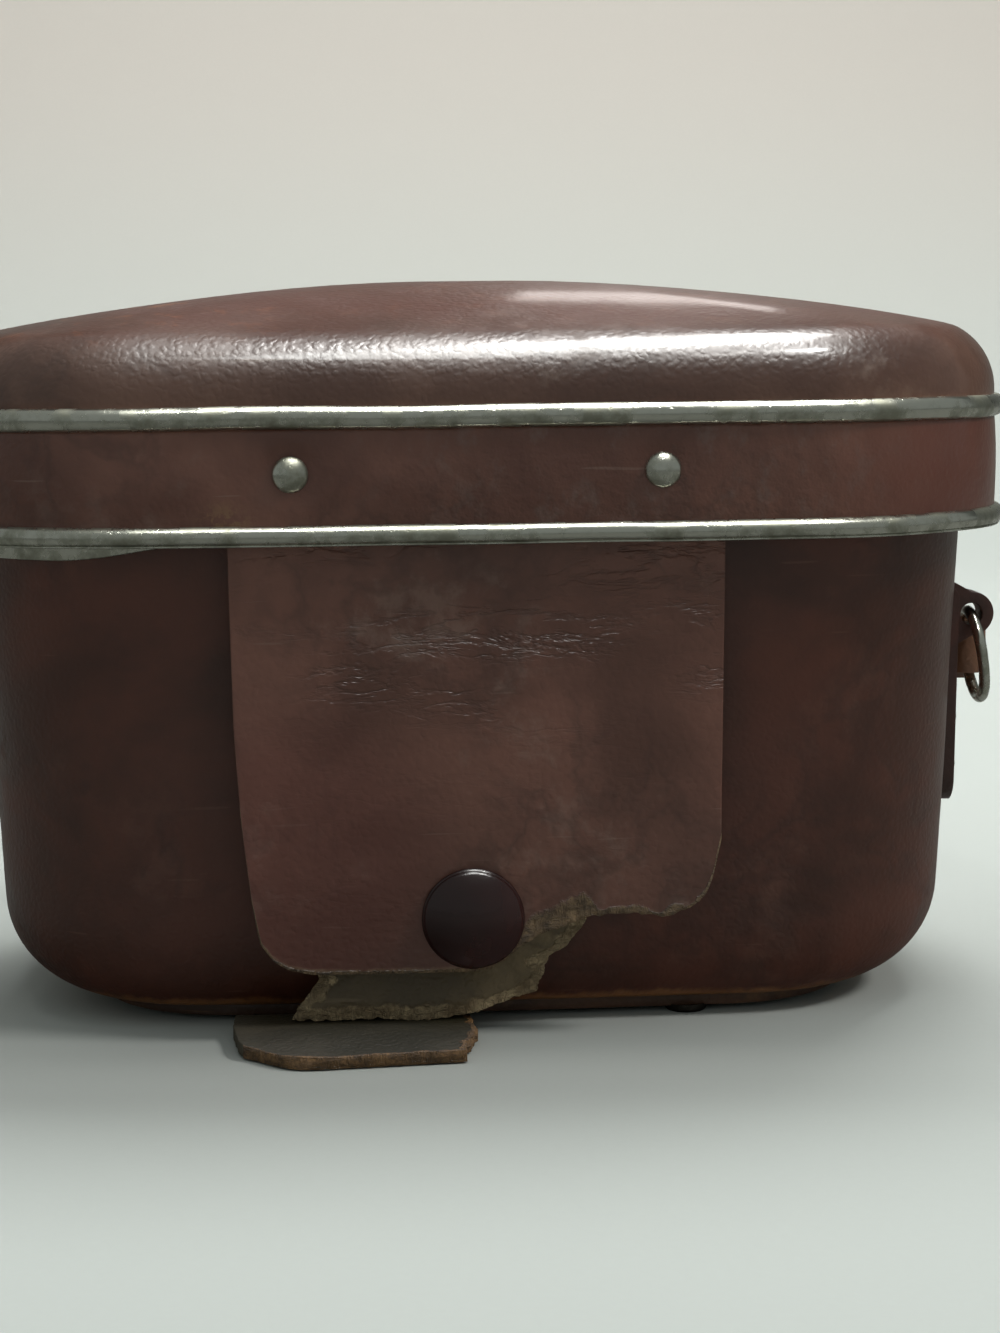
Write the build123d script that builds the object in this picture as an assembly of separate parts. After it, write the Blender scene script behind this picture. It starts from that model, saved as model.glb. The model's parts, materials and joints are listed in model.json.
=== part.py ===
"""Leather ever-ready case for a compact 35 mm camera: a moulded body with a hinged
lid, a front flap with a press stud, side rings and a neck strap.

Millimetres. +X is the case's right as seen from the front, -Y is the front and +Z
is up. The feet stand on z = 0. The origin is the middle of the space that the case
covers on the table, so every finished piece is moved back by middle_shift.
"""

from build123d import *
import math
import os

os.makedirs("parts", exist_ok=True)

# Body of the case, measured at its mouth
mouth_width = 127.6
mouth_depth = 74.0
mouth_height = 67.0
corner_radius = 24.0
front_bow = 2.0
back_bow = 2.0
side_bow = 3.5
body_wall = 2.5
body_draft = 1.6
end_round = 12.0
inner_round_least = 1.0
round_steps = 5
front_round = 4.0
round_height = 12.0
floor_height = 2.4

# Sole, feet and linings
foot_height = 0.8
foot_radius = 2.65
foot_rim_round = 0.4
foot_in_x = 37.2
foot_in_y = 8.5
sole_inset = 0.6
lining_thickness = 0.7
pad_thickness = 1.5
pad_end_gap = 1.0
pad_side_gap = 4.0
pad_corner_in = 8.0
screw_head_gap = 0.6

# Metal rim round the mouth
rim_thickness = 0.5
rim_lip = 3.2
rim_drop = 5.4
rim_dip = 1.5
rim_dip_width = 22.0

# Lid
lid_gap = 3.2
lid_wall = 2.0
bead_height = 2.6
bead_proud = 1.3
bead_play = 0.03
bead_foot = 0.8
lower_bead_drop = 4.3
bead_spacing = 14.2
dome_height = 16.7
dome_edge_round = 9.0
crown_height = 6.5
dome_lap = 0.4
seat_gap = 0.3
frame_inset = 3.8
frame_thickness = 0.8
frame_top_gap = 0.2
leaf_band_gap = 0.1

# Flap with its anchor in the lid
flap_thickness = 2.0
flap_top_half = 30.3
flap_tilt = 2.0
flap_setback = 0.5
flap_low = 8.6
flap_pivot_drop = 1.3
anchor_half = 28.0
anchor_gap = 0.3
anchor_top_gap = 0.5
dome_rivet_x = 22.5
dome_rivet_up = 7.4
dome_rivet_radius = 2.2
dome_rivet_rise = 1.2
rivet_shank = 1.0
rivet_play = 0.02
rivet_lap = 0.1
head_seat = 0.03
washer_radius = 2.4
washer_thickness = 0.5

# Press stud
stud_x = -1.15
stud_z = 15.2
stud_radius = 2.0
stud_engaged = 0.6
socket_inner = 4.2
socket_outer = 5.4
socket_height = 1.0
socket_plate = 0.15
stud_flange = 4.6
stud_flange_thickness = 0.3
cap_radius = 6.35
snap_hold = 0.1
cap_rise = 2.8
cap_edge = 0.7
backing_radius = 4.0
backing_thickness = 0.4
backing_gap = 0.1
shank_proud = 0.1

# Torn tongue and torn stub
tongue_thickness = 1.6
tongue_left = -23.9
tongue_right = 13.4
tongue_low = 2.4
tongue_top = 25.0
stub_thickness = 1.7
stub_rest = 0.2
stub_left = -31.0
stub_right = -1.2
stub_front = 55.0
stub_back = 24.0
stub_foot_gap = 0.25
stub_skived = 0.5
stub_skive_gap = 0.5

# Side lugs and rings
lug_y = -3.0
lug_thickness = 3.1
lug_width = 8.0
lug_low = 22.4
lug_top = 53.8
lug_end_thickness = 1.0
lug_end_round = 3.5
lug_bend_low = 4.0
lug_bend_high = 2.8
loop_width = 5.0
loop_bore = 1.5
loop_wall = 1.5
loop_z = 48.1
loop_stand = 2.05
cheek_low = 4.2
cheek_high = 4.4
cheek_sink = 0.4
ring_radius = 5.95
wire_radius = 0.75
ring_lean = 8.0
ring_hang = 0.1
lug_rivet_radius = 1.9
lug_rivet_rise = 0.8
lug_rivet_heights = (27.3, 33.8)

# Hinge
hinge_half = 20.0
knuckle_radius = 1.5
knuckle_gap = 0.3
pin_radius = 0.6
pin_play = 0.05
hinge_drop = 1.9
leaf_thickness = 0.7
leaf_length = 13.0
leaf_setback = 0.3
hinge_rivet_radius = 1.5
hinge_rivet_rise = 0.5
hinge_rivet_shank = 0.8
hinge_rivet_in = 4.5
leaf_play = 0.02
knuckle_count = 5

# Camera screw
screw_radius = 3.175
screw_head_radius = 9.0
screw_head_low = 0.3
screw_reach = 5.0
screw_play = 0.2
bush_wall = 1.6
screw_seat_gap = 0.2
coin_slot_width = 1.6
coin_slot_depth = 0.7

# Neck strap
strap_width = 9.0
strap_thickness = 2.0
strap_gap = 0.3
end_width = 6.0
end_leather = 1.4
end_bore = 1.45
end_reach = 11.5
end_neck = 2.4
strap_rivet_radius = 1.8
strap_rivet_rise = 0.6
strap_rivet_in = 4.0
ring_sit = 0.45
strap_rest = 0.1
coil_x = 0.0
coil_y = 96.0
coil_radius = 46.0
coil_step = 2.0
coil_half_turns = 4
coil_tuck = 4.0
coil_start = 65.0
coil_lead_in = 17.0
coil_lead_out = 12.0
arch_rise = 6.4
arch_out = 6.6
section_step = 7.0

# How far a cutting shape runs past what it cuts
cut_over = 1.0

# Steps of the rounded forms
dome_edge_steps = 5
crown_shares = (0.25, 0.5, 0.75, 0.93)

# Places that follow from the sizes above
rim_low = mouth_height - rim_drop
lower_bead_z = mouth_height - lower_bead_drop
upper_bead_z = lower_bead_z + bead_spacing
dome_rivet_z = lower_bead_z + dome_rivet_up
rim_outer = mouth_depth / 2 + rim_thickness
band_inner = rim_outer + lid_gap
band_outer = band_inner + lid_wall
bead_outer = band_outer + bead_proud
middle_shift = (stub_front - bead_outer) / 2
band_grow = rim_thickness + lid_gap
lid_grow = band_grow + lid_wall
lower_bead_low = lower_bead_z - bead_height / 2
band_low = lower_bead_low + bead_foot
dome_low = upper_bead_z - bead_height / 2 + dome_lap
dome_top = upper_bead_z + dome_height
flap_out = -(band_inner - flap_setback)
flap_mid = flap_out + flap_thickness / 2
pivot_z = lower_bead_low - flap_pivot_drop
flap_cut_z = pivot_z + flap_thickness / 2 + anchor_gap
frame_low = mouth_height + seat_gap
frame_flange_top = dome_low - frame_top_gap
frame_flange_low = frame_flange_top - frame_thickness
hinge_y = band_inner - leaf_setback - leaf_thickness / 2 - leaf_band_gap
hinge_z = lower_bead_low - hinge_drop
end_loop_y = lug_y + ring_radius - ring_sit
tail_end_y = end_loop_y + end_reach
strap_low_z = strap_rest + strap_width / 2


def save(shape, name):
    """Writes a finished piece, moved so that the origin is the covered space's middle."""
    shape = shape.moved(Location((0, middle_shift, 0)))
    export_step(shape, f"parts/{name}.step")
    print(f"{name}: {len(shape.solids())} solid(s), {shape.volume:.1f} mm3")


def plan(half_x, half_y, radius, z):
    """The bowed and rounded plan outline as a face at height z."""
    x_in = half_x - side_bow
    y_front = half_y - front_bow
    y_back = half_y - back_bow
    corners = [(-x_in, -y_front), (x_in, -y_front), (x_in, y_back), (-x_in, y_back)]
    middles = [(0, -half_y), (half_x, 0), (0, half_y), (-half_x, 0)]
    sides = Curve() + [
        ThreePointArc(corners[i], middles[i], corners[(i + 1) % 4]) for i in range(4)
    ]
    face = make_face(sides)
    face = fillet(face.vertices(), radius)
    return Pos(0, 0, z) * face


def mouth_plan(grow, z):
    """The mouth's outline grown evenly by grow, at height z."""
    face = plan(mouth_width / 2, mouth_depth / 2, corner_radius, 0)
    if grow:
        face = offset(face, amount=grow)
    return Pos(0, 0, z) * face


def slab(grow, low, high):
    """A block of the mouth's outline grown by grow, from low to high."""
    return extrude(mouth_plan(grow, low), high - low)


def swept(grow, z, outline, bulge=None):
    """A strip along the mouth's outline grown by grow.

    Its section's corners are (outwards, up) points.

    With bulge, the side between the first two corners is an arc that far proud.
    """
    path = mouth_plan(grow, z).faces()[0].outer_wire()
    start, heading = path @ 0, path % 0
    out = heading.cross(Vector(0, 0, 1))
    if out.dot(Vector(start.X, start.Y, 0)) < 0:
        out = -out
    places = [start + out * across + Vector(0, 0, up) for across, up in outline]
    sides = [Line(a, b) for a, b in zip(places, places[1:] + places[:1]) if a != b]
    if bulge:
        sides[0] = ThreePointArc(places[0], (places[0] + places[1]) / 2 + out * bulge, places[1])
    return sweep(make_face(Curve() + sides), path)


def side_inset(z):
    """How far the drafted side has drawn in at height z."""
    return body_draft * (mouth_height - z) / (mouth_height - floor_height)


def basin(shrink):
    """The body's bowl, drafted and rounded below, all faces drawn in by shrink."""
    low = floor_height + shrink
    bend = floor_height + round_height
    top_face = plan(
        mouth_width / 2 - shrink, mouth_depth / 2 - shrink, corner_radius - shrink, mouth_height
    )
    draw = side_inset(bend)
    bend_face = plan(
        mouth_width / 2 - shrink - draw,
        mouth_depth / 2 - shrink - draw,
        corner_radius - shrink - draw,
        bend,
    )
    upper = loft([top_face, bend_face], ruled=True)
    sections = []
    for step in range(round_steps + 1):
        turn = math.pi / 2 * step / round_steps
        drop = (bend - low) * math.sin(turn)
        in_x = draw + (end_round - shrink) * (1 - math.cos(turn))
        in_y = draw + max(front_round - shrink, inner_round_least) * (1 - math.cos(turn))
        sections.append(
            plan(
                mouth_width / 2 - shrink - in_x,
                mouth_depth / 2 - shrink - in_y,
                corner_radius - shrink - in_y,
                bend - drop,
            )
        )
    lower = loft(sections)
    return upper + lower


def disc(radius, height, x, y, z):
    """An upright round plug standing on z."""
    return Pos(x, y, z) * extrude(Circle(radius), height)


def along_y(radius, length, x, y, z):
    """A round pin along +Y from y."""
    return Pos(x, y, z) * Rot(-90, 0, 0) * extrude(Circle(radius), length)


def along_x(radius, x0, x1, y, z):
    """A round pin along X from x0 to x1."""
    return Pos(x0, y, z) * Rot(0, 90, 0) * extrude(Circle(radius), x1 - x0)


def head(radius, rise):
    """A domed rivet head standing on z = 0."""
    arc = ThreePointArc(*dome_points(radius, rise))
    profile = make_face(Curve() + [arc, Polyline((0, 0, rise), (0, 0, 0), (radius, 0, 0))])
    return revolve(profile, Axis.Z)


def dome_points(radius, rise):
    """The start, middle and end of a dome's arc, from its rim to its top."""
    ball = (radius**2 + rise**2) / (2 * rise)
    half_turn = math.asin(min(1.0, radius / ball)) / 2
    middle = (ball * math.sin(half_turn), 0, ball * math.cos(half_turn) - ball + rise)
    return (radius, 0, 0), middle, (0, 0, rise)


def head_y(radius, rise, x, y, z, facing):
    """A domed rivet head on a wall at y, bulging to facing (-1 is the front)."""
    return Pos(x, y, z) * Rot(-90 * facing, 0, 0) * head(radius, rise)


def head_x(radius, rise, x, y, z, facing):
    """A domed rivet head on a wall at x, bulging to facing."""
    return Pos(x, y, z) * Rot(0, 90 * facing, 0) * head(radius, rise)


def foot_places():
    return [
        (sx * (mouth_width / 2 - foot_in_x), sy * (mouth_depth / 2 - foot_in_y))
        for sx in (-1, 1)
        for sy in (-1, 1)
    ]


def both_sides(shape):
    return shape + mirror(shape, about=Plane.YZ)


def group(pieces):
    """Separate solids kept side by side in one piece."""
    return Compound([solid for piece in pieces for solid in piece.solids()])


# Body pieces


def side_x(z):
    """Half-width of the body's outside at its middle, where the lugs are."""
    return mouth_width / 2 - side_inset(z)


def front_y(z):
    """The body's front face in the middle, as a distance from the middle plane."""
    base = mouth_depth / 2 - side_inset(z)
    bend = floor_height + round_height
    if z < bend:
        share = min(1.0, (bend - z) / round_height)
        base -= front_round * (1 - math.sqrt(1 - share**2))
    return base


def lug_rivet_places():
    return [(side_x(z), lug_y, z) for z in lug_rivet_heights]


def body_shell():
    shell = basin(0) - basin(body_wall)
    shell -= disc(screw_radius + screw_play + bush_wall, body_wall * 3, 0, 0, floor_height - 1)
    for x, _, z in lug_rivet_places():
        shell -= both_sides(along_x(rivet_shank + rivet_play, x - 4, x + 1, lug_y, z))
    return shell


def body_rim():
    """Pressed strip that clips over the mouth, with its lower edge dipping at the left."""
    skirt = rim_low - rim_dip - mouth_height
    outline = [
        (0, skirt),
        (rim_thickness, skirt),
        (rim_thickness, rim_thickness),
        (-rim_lip, rim_thickness),
        (-rim_lip, 0),
        (0, 0),
    ]
    left = -mouth_width / 2 - 5
    right = mouth_width / 2 + 5
    cut = Polyline(
        (left, rim_low - 2 * rim_dip - 2),
        (left, rim_low - rim_dip),
        (left + 8, rim_low - rim_dip),
        (left + 8 + rim_dip_width, rim_low),
        (right, rim_low),
        (right, rim_low - 2 * rim_dip - 2),
        close=True,
    )
    wedge = extrude(Plane.XZ * make_face(cut), mouth_depth, both=True)
    return swept(0, mouth_height, outline) - wedge


def body_lining():
    lining = basin(body_wall) - basin(body_wall + lining_thickness)
    lining -= disc(screw_radius + screw_play, body_wall * 4, 0, 0, floor_height - 1)
    return lining


def floor_pad():
    low = floor_height + body_wall + lining_thickness
    face = plan(
        mouth_width / 2 - end_round - body_draft - pad_end_gap,
        mouth_depth / 2 - body_wall - body_draft - pad_side_gap,
        corner_radius - pad_corner_in,
        low,
    )
    return extrude(face, pad_thickness) - disc(
        screw_radius + screw_play, pad_thickness * 3, 0, 0, low - 1
    )


def sole_half_depth():
    return mouth_depth / 2 - body_draft - front_round - sole_inset


def sole_panel():
    face = plan(
        mouth_width / 2 - body_draft - end_round - sole_inset,
        sole_half_depth(),
        corner_radius - front_round - body_draft - sole_inset,
        foot_height,
    )
    sole = extrude(face, floor_height - foot_height)
    sole -= disc(screw_head_radius + screw_head_gap, 6, 0, 0, foot_height - 1)
    for x, y in foot_places():
        sole -= disc(rivet_shank + rivet_play, 6, x, y, foot_height - 1)
    return sole


def base_feet():
    """Four round feet, each with a shank up through the sole."""
    feet = []
    for x, y in foot_places():
        foot = disc(foot_radius, foot_height, x, y, 0)
        foot = fillet(foot.edges().group_by(Axis.Z)[0], foot_rim_round)
        feet.append(foot + disc(rivet_shank, floor_height, x, y, 0))
    return group(feet)


def screw_bush():
    hole = screw_radius + screw_play
    low, high = floor_height, floor_height + body_wall
    return disc(hole + bush_wall, high - low, 0, 0, low) - disc(hole, 9, 0, 0, low - 1)


def camera_screw():
    """The screw that holds the camera, turned from below with a coin."""
    head_high = floor_height - screw_seat_gap
    head = disc(screw_head_radius, head_high - screw_head_low, 0, 0, screw_head_low)
    head = chamfer(head.edges().group_by(Axis.Z)[0], 0.4)
    slot = Box(3 * screw_head_radius, coin_slot_width, 2 * coin_slot_depth)
    slot = Pos(0, 0, screw_head_low) * slot
    top = floor_height + body_wall + lining_thickness + pad_thickness + screw_reach
    shank = disc(screw_radius, top - head_high, 0, 0, head_high)
    shank = chamfer(shank.edges().group_by(Axis.Z)[-1], 0.6)
    return head - slot + shank


def lug():
    """A leather chape: a strip on the side whose upper end loops round the ring."""
    loop_x = side_x(loop_z) + lug_thickness + loop_stand
    low_x, top_x = side_x(lug_low), side_x(lug_top)
    mid_x = side_x(loop_z)
    below, above = loop_z - lug_bend_low, loop_z + lug_bend_high
    face = make_face(
        Polyline(
            (low_x, lug_low),
            (low_x + lug_thickness, lug_low),
            (side_x(below) + lug_thickness, below),
            (side_x(above) + lug_thickness, above),
            (top_x + lug_end_thickness, lug_top),
            (top_x, lug_top),
            close=True,
        )
    )
    strip = extrude(Plane.XZ * face, lug_width / 2, both=True)
    strip = Pos(0, lug_y, 0) * strip
    rounding = strip.edges().filter_by(Axis.X).group_by(Axis.Z)[0]
    strip = fillet(rounding, lug_end_round)
    cheek = make_face(
        Polyline(
            (mid_x + cheek_sink, loop_z - cheek_low),
            (mid_x + lug_thickness, loop_z - cheek_low),
            (loop_x, loop_z - loop_bore - loop_wall),
            (loop_x, loop_z + loop_bore + loop_wall),
            (mid_x + lug_thickness - cheek_sink, loop_z + cheek_high),
            (mid_x + cheek_sink, loop_z + cheek_high),
            close=True,
        )
    )
    web = Pos(0, lug_y, 0) * extrude(Plane.XZ * cheek, loop_width / 2, both=True)
    loop = along_y(loop_bore + loop_wall, loop_width, loop_x, lug_y - loop_width / 2, loop_z)
    bore = along_y(loop_bore, loop_width + 8, loop_x, lug_y - loop_width / 2 - 4, loop_z)
    shape = strip + web + loop - bore
    for x, _, z in lug_rivet_places():
        shape -= along_x(rivet_shank + rivet_play, x - 2, x + 8, lug_y, z)
    return shape


def lug_rivets():
    """Two rivets through each lug and the body's wall."""
    rivets = []
    for x, y, z in lug_rivet_places():
        outer = side_x(z) + lug_thickness
        lean = body_draft / (mouth_height - floor_height)
        seat = outer + lean * lug_rivet_radius + head_seat
        head = head_x(lug_rivet_radius, lug_rivet_rise, seat, y, z, 1)
        shank = along_x(rivet_shank, x - body_wall + rivet_lap, outer + rivet_lap, y, z)
        rivets.append(head + shank)
    return group(rivets + [mirror(r, about=Plane.YZ) for r in rivets])


# Tongue, stud and stub at the front

stud_back_y = -front_y(stud_z + backing_radius) - backing_gap
tongue_in_y = stud_back_y - backing_thickness
tongue_out_y = tongue_in_y - tongue_thickness


def inner_tongue():
    """The torn leather tongue behind the flap, which carries the stud."""
    outline = Polyline(
        (tongue_left, tongue_low),
        (tongue_left + 12, tongue_low - 0.2),
        (tongue_left + 17, tongue_low - 0.3),
        (tongue_left + 21, tongue_low),
        (tongue_left + 26, tongue_low + 1.2),
        (tongue_right - 6.9, tongue_low + 2.4),
        (tongue_right - 6.1, tongue_low + 3.7),
        (tongue_right - 5.0, tongue_low + 6.9),
        (tongue_right - 2.4, tongue_low + 8.6),
        (tongue_right, tongue_low + 11.5),
        (tongue_right - 1.5, tongue_top),
        (tongue_left + 3.6, tongue_top),
        (tongue_left + 3.6, tongue_low + 4.5),
        close=True,
    )
    body = extrude(Plane.XZ.offset(-tongue_in_y) * make_face(outline), tongue_thickness)
    return body - along_y(rivet_shank + rivet_play, 8, stud_x, tongue_out_y - 2, stud_z)


def stud_post():
    """The stud's flange and knob on the tongue's face."""
    flange = along_y(
        stud_flange, stud_flange_thickness, stud_x, tongue_out_y - stud_flange_thickness, stud_z
    )
    knob_front = socket_front_y() - stud_engaged
    knob = along_y(stud_radius, tongue_out_y - knob_front, stud_x, knob_front, stud_z)
    knob = fillet(knob.edges().group_by(Axis.Y)[0], 0.3)
    shank = along_y(rivet_shank, tongue_thickness + snap_hold, stud_x, tongue_out_y - snap_hold, stud_z)
    return flange + knob + shank


def stud_backing():
    return along_y(backing_radius, backing_thickness, stud_x, tongue_in_y, stud_z)


def base_tab():
    """The torn stub that lies on the table, skived thin where the sole lies over it."""
    face = make_face(
        Polyline(
            (stub_left + 2, -stub_back),
            (stub_left, -stub_back - 12),
            (stub_left + 1.2, -stub_front + 5.5),
            (stub_left + 5, -stub_front + 0.6),
            (stub_left + 9, -stub_front),
            (stub_right - 1.6, -stub_front + 1.8),
            (stub_right - 1.2, -stub_front + 5.0),
            (stub_right, -stub_front + 11.0),
            (stub_right - 0.6, -stub_back - 12),
            (stub_right - 1.5, -stub_back),
            close=True,
        )
    )
    tab = extrude(Pos(0, 0, stub_rest) * face, stub_thickness)
    under = sole_half_depth() + stub_skive_gap
    tab -= Pos(0, 0, stub_rest + stub_skived) * extrude(Rectangle(mouth_width, 2 * under), stub_thickness)
    for x, y in foot_places():
        tab -= disc(foot_radius + stub_foot_gap, 6, x, y, -1)
    return tab


# Lid pieces


def dome_level(grow, keep, z):
    """The lid's outline at height z, grown by grow and then scaled by keep."""
    return Pos(0, 0, z) * scale(mouth_plan(grow, 0), by=keep)


def dome_solid(shrink):
    """The lid's crowned top as a full block, every face drawn in by shrink."""
    grow = lid_grow - shrink
    edge = dome_edge_round - shrink
    lean = math.atan(2 * crown_height / (mouth_depth / 2 + grow - edge))
    last_turn = math.pi / 2 - lean
    rim_grow = grow - edge * (1 - math.cos(last_turn))
    rim_top = dome_top - shrink - crown_height
    levels = [dome_level(grow, 1, dome_low - (cut_over if shrink else 0))]
    for step in range(dome_edge_steps + 1):
        turn = last_turn * step / dome_edge_steps
        z = rim_top - edge * (math.sin(last_turn) - math.sin(turn))
        levels.append(dome_level(grow - edge * (1 - math.cos(turn)), 1, z))
    for share in crown_shares:
        keep = 1 - share
        levels.append(dome_level(rim_grow, keep, rim_top + crown_height * (1 - keep**2)))
    return loft(levels)


def lid_dome():
    return dome_solid(0) - dome_solid(lid_wall)


def lid_lining():
    skin = dome_solid(lid_wall) & slab(lid_grow, dome_low, dome_top)
    return skin - dome_solid(lid_wall + lining_thickness)


def lid_band():
    high = dome_low - band_low
    band = swept(lid_grow, band_low, [(-lid_wall, 0), (0, 0), (0, high), (-lid_wall, high)])
    for sx in (-1, 1):
        x = sx * dome_rivet_x
        band -= along_y(rivet_shank + rivet_play, 12, x, -band_outer - 4, dome_rivet_z)
    for x in hinge_rivet_xs():
        band -= along_y(hinge_rivet_shank + rivet_play, 12, x, band_outer - 8, hinge_rivet_z())
    return band


def upper_bead():
    half = bead_height / 2
    return swept(lid_grow + bead_play, upper_bead_z, [(0, -half), (0, half)], bead_proud)


def lower_bead():
    """The lower bead with the foot that closes the band's lower edge."""
    half = bead_height / 2
    foot_top = band_low - lower_bead_z
    outline = [(0, -half), (0, half), (0, foot_top), (-lid_wall, foot_top), (-lid_wall, -half)]
    return swept(lid_grow, lower_bead_z, outline, bead_proud)


def lid_frame():
    """Pressed steel frame that stiffens the lid and seats it on the rim."""
    leg_low = frame_low + rim_thickness - frame_flange_low
    outline = [
        (0, 0),
        (frame_inset, 0),
        (frame_inset, frame_thickness),
        (-frame_thickness, frame_thickness),
        (-frame_thickness, leg_low),
        (0, leg_low),
    ]
    return swept(band_grow - frame_inset, frame_flange_low, outline)


def flap_anchor():
    """The end of the flap's leather inside the lid, held by the two dome rivets."""
    top = frame_flange_low - anchor_top_gap
    plate = Pos(0, flap_mid, (flap_cut_z + top) / 2) * Box(
        2 * anchor_half, flap_thickness, top - flap_cut_z
    )
    for sx in (-1, 1):
        plate -= along_y(
            rivet_shank + rivet_play, 12, sx * dome_rivet_x, flap_mid - 6, dome_rivet_z
        )
    return plate


def front_of_band(x):
    """The band's outer front face at x, as a distance from the middle plane."""
    radius = ((mouth_width / 2 - side_bow) ** 2 + front_bow**2) / (2 * front_bow) + lid_grow
    return band_outer - radius + math.sqrt(radius**2 - x**2)


def flap_rivets():
    """Two domed rivets through the band and the anchor."""
    rivets = []
    for sx in (-1, 1):
        x = sx * dome_rivet_x
        wall = -front_of_band(x - sx * dome_rivet_radius) - head_seat
        head = head_y(dome_rivet_radius, dome_rivet_rise, x, wall, dome_rivet_z, -1)
        inner = flap_out + flap_thickness + washer_thickness
        shank = along_y(rivet_shank, inner - wall + rivet_lap, x, wall - rivet_lap, dome_rivet_z)
        rivets.append(head + shank)
    return group(rivets)


def flap_rivet_washers():
    washers = []
    for sx in (-1, 1):
        y = flap_out + flap_thickness
        washer = along_y(washer_radius, washer_thickness, sx * dome_rivet_x, y, dome_rivet_z)
        washer -= along_y(rivet_shank + rivet_play, 4, sx * dome_rivet_x, y - 2, dome_rivet_z)
        washers.append(washer)
    return group(washers)


# Flap pieces, built upright and then tilted about the flap's own pivot


def tilted(shape):
    return shape.rotate(Axis((0, flap_mid, pivot_z), (1, 0, 0)), -flap_tilt)


def flap():
    """The front flap with its torn lower right edge."""
    half = flap_top_half
    low = flap_low
    torn = [
        (-2.5, low - 0.1),
        (1.2, low + 0.4),
        (5.1, low + 3.1),
        (7.3, low + 4.4),
        (9.7, low + 5.1),
        (12.8, low + 6.2),
        (14.1, low + 6.6),
        (16.7, low + 6.9),
        (19.8, low + 6.9),
        (23.8, low + 6.5),
        (26.4, low + 7.6),
        (28.4, low + 9.1),
        (29.2, low + 11.5),
    ]
    outline = Polyline(
        (half, pivot_z),
        (-half, pivot_z),
        (-half + 1.1, low + 18.2),
        (-half + 2.1, low + 9.4),
        (-half + 3.2, low + 3.9),
        (-half + 4.7, low + 1.8),
        (-half + 6.5, low + 0.7),
        (-half + 9.5, low),
        *torn,
        close=True,
    )
    inner_face = Plane.XZ.offset(-(flap_out + flap_thickness)) * make_face(outline)
    sheet = extrude(inner_face, flap_thickness)
    roll = along_x(flap_thickness / 2, -half, half, flap_mid, pivot_z)
    leather = sheet + roll
    leather -= along_y(rivet_shank + rivet_play, 12, stud_x, flap_mid - 6, stud_build_z())
    return tilted(leather)


def stud_build_z():
    """The stud's height on the untilted flap."""
    return pivot_z - (pivot_z - stud_z) / math.cos(math.radians(flap_tilt))


def socket_front_y():
    """Where the socket's open end lies at the stud, on the tilted flap."""
    return (
        flap_mid
        - (pivot_z - stud_z) * math.tan(math.radians(flap_tilt))
        + flap_thickness / 2
        + socket_height
    )


def snap_cap():
    """The domed cap on the flap's face, with its shank."""
    face_y = flap_out
    z = stud_build_z()
    base = along_y(cap_radius, cap_edge, stud_x, face_y - cap_edge, z)
    crown = head_y(cap_radius, cap_rise - cap_edge, stud_x, face_y - cap_edge, z, -1)
    length = flap_thickness + shank_proud + snap_hold
    shank = along_y(rivet_shank, length, stud_x, face_y - snap_hold, z)
    return tilted(base + crown + shank)


def snap_socket():
    """The spring socket on the flap's inner face, open towards the stud."""
    y = flap_out + flap_thickness
    z = stud_build_z()
    ring = along_y(socket_outer, socket_height, stud_x, y, z)
    ring -= along_y(socket_inner, socket_height + 2, stud_x, y - 1, z)
    plate = along_y(socket_outer, socket_plate, stud_x, y, z)
    plate -= along_y(rivet_shank + rivet_play, 2, stud_x, y - 1, z)
    return tilted(ring + plate)


# Hinge


def knuckles():
    """The x ranges of the hinge's knuckles, the body's first."""
    pitch = 2 * hinge_half / knuckle_count
    spans = [
        (-hinge_half + i * pitch + knuckle_gap / 2, -hinge_half + (i + 1) * pitch - knuckle_gap / 2)
        for i in range(knuckle_count)
    ]
    return spans[0::2], spans[1::2]


def hinge_rivet_xs():
    pitch = 2 * hinge_half / knuckle_count
    return [-1.5 * pitch, 0, 1.5 * pitch]


def hinge_rivet_z():
    return hinge_z + leaf_length - hinge_rivet_in


def hinge_rivet_low_z():
    return hinge_z - leaf_length + hinge_rivet_in


def leaf_back_y():
    """The lid leaf's outer face, just inside the bowed band."""
    return band_inner - leaf_setback


def body_leaf_y():
    """The body leaf's inner face, just outside the drafted back."""
    return mouth_depth / 2 - side_inset(hinge_z) + leaf_play


def hinge_leaf_lid():
    y = leaf_back_y()
    low = hinge_z + knuckle_radius + knuckle_gap
    high = hinge_z + leaf_length
    leaf = Pos(0, y - leaf_thickness / 2, (low + high) / 2) * Box(
        2 * hinge_half, leaf_thickness, high - low
    )
    for a, b in knuckles()[1]:
        leaf += Pos((a + b) / 2, y - leaf_thickness / 2, (hinge_z + low) / 2 + 0.2) * Box(
            b - a, leaf_thickness, low - hinge_z + 0.4
        )
        leaf += along_x(knuckle_radius, a, b, hinge_y, hinge_z)
    leaf -= along_x(pin_radius + pin_play, -hinge_half - 1, hinge_half + 1, hinge_y, hinge_z)
    for x in hinge_rivet_xs():
        leaf -= along_y(hinge_rivet_shank + rivet_play, 4, x, y - 2, hinge_rivet_z())
    return leaf


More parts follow.
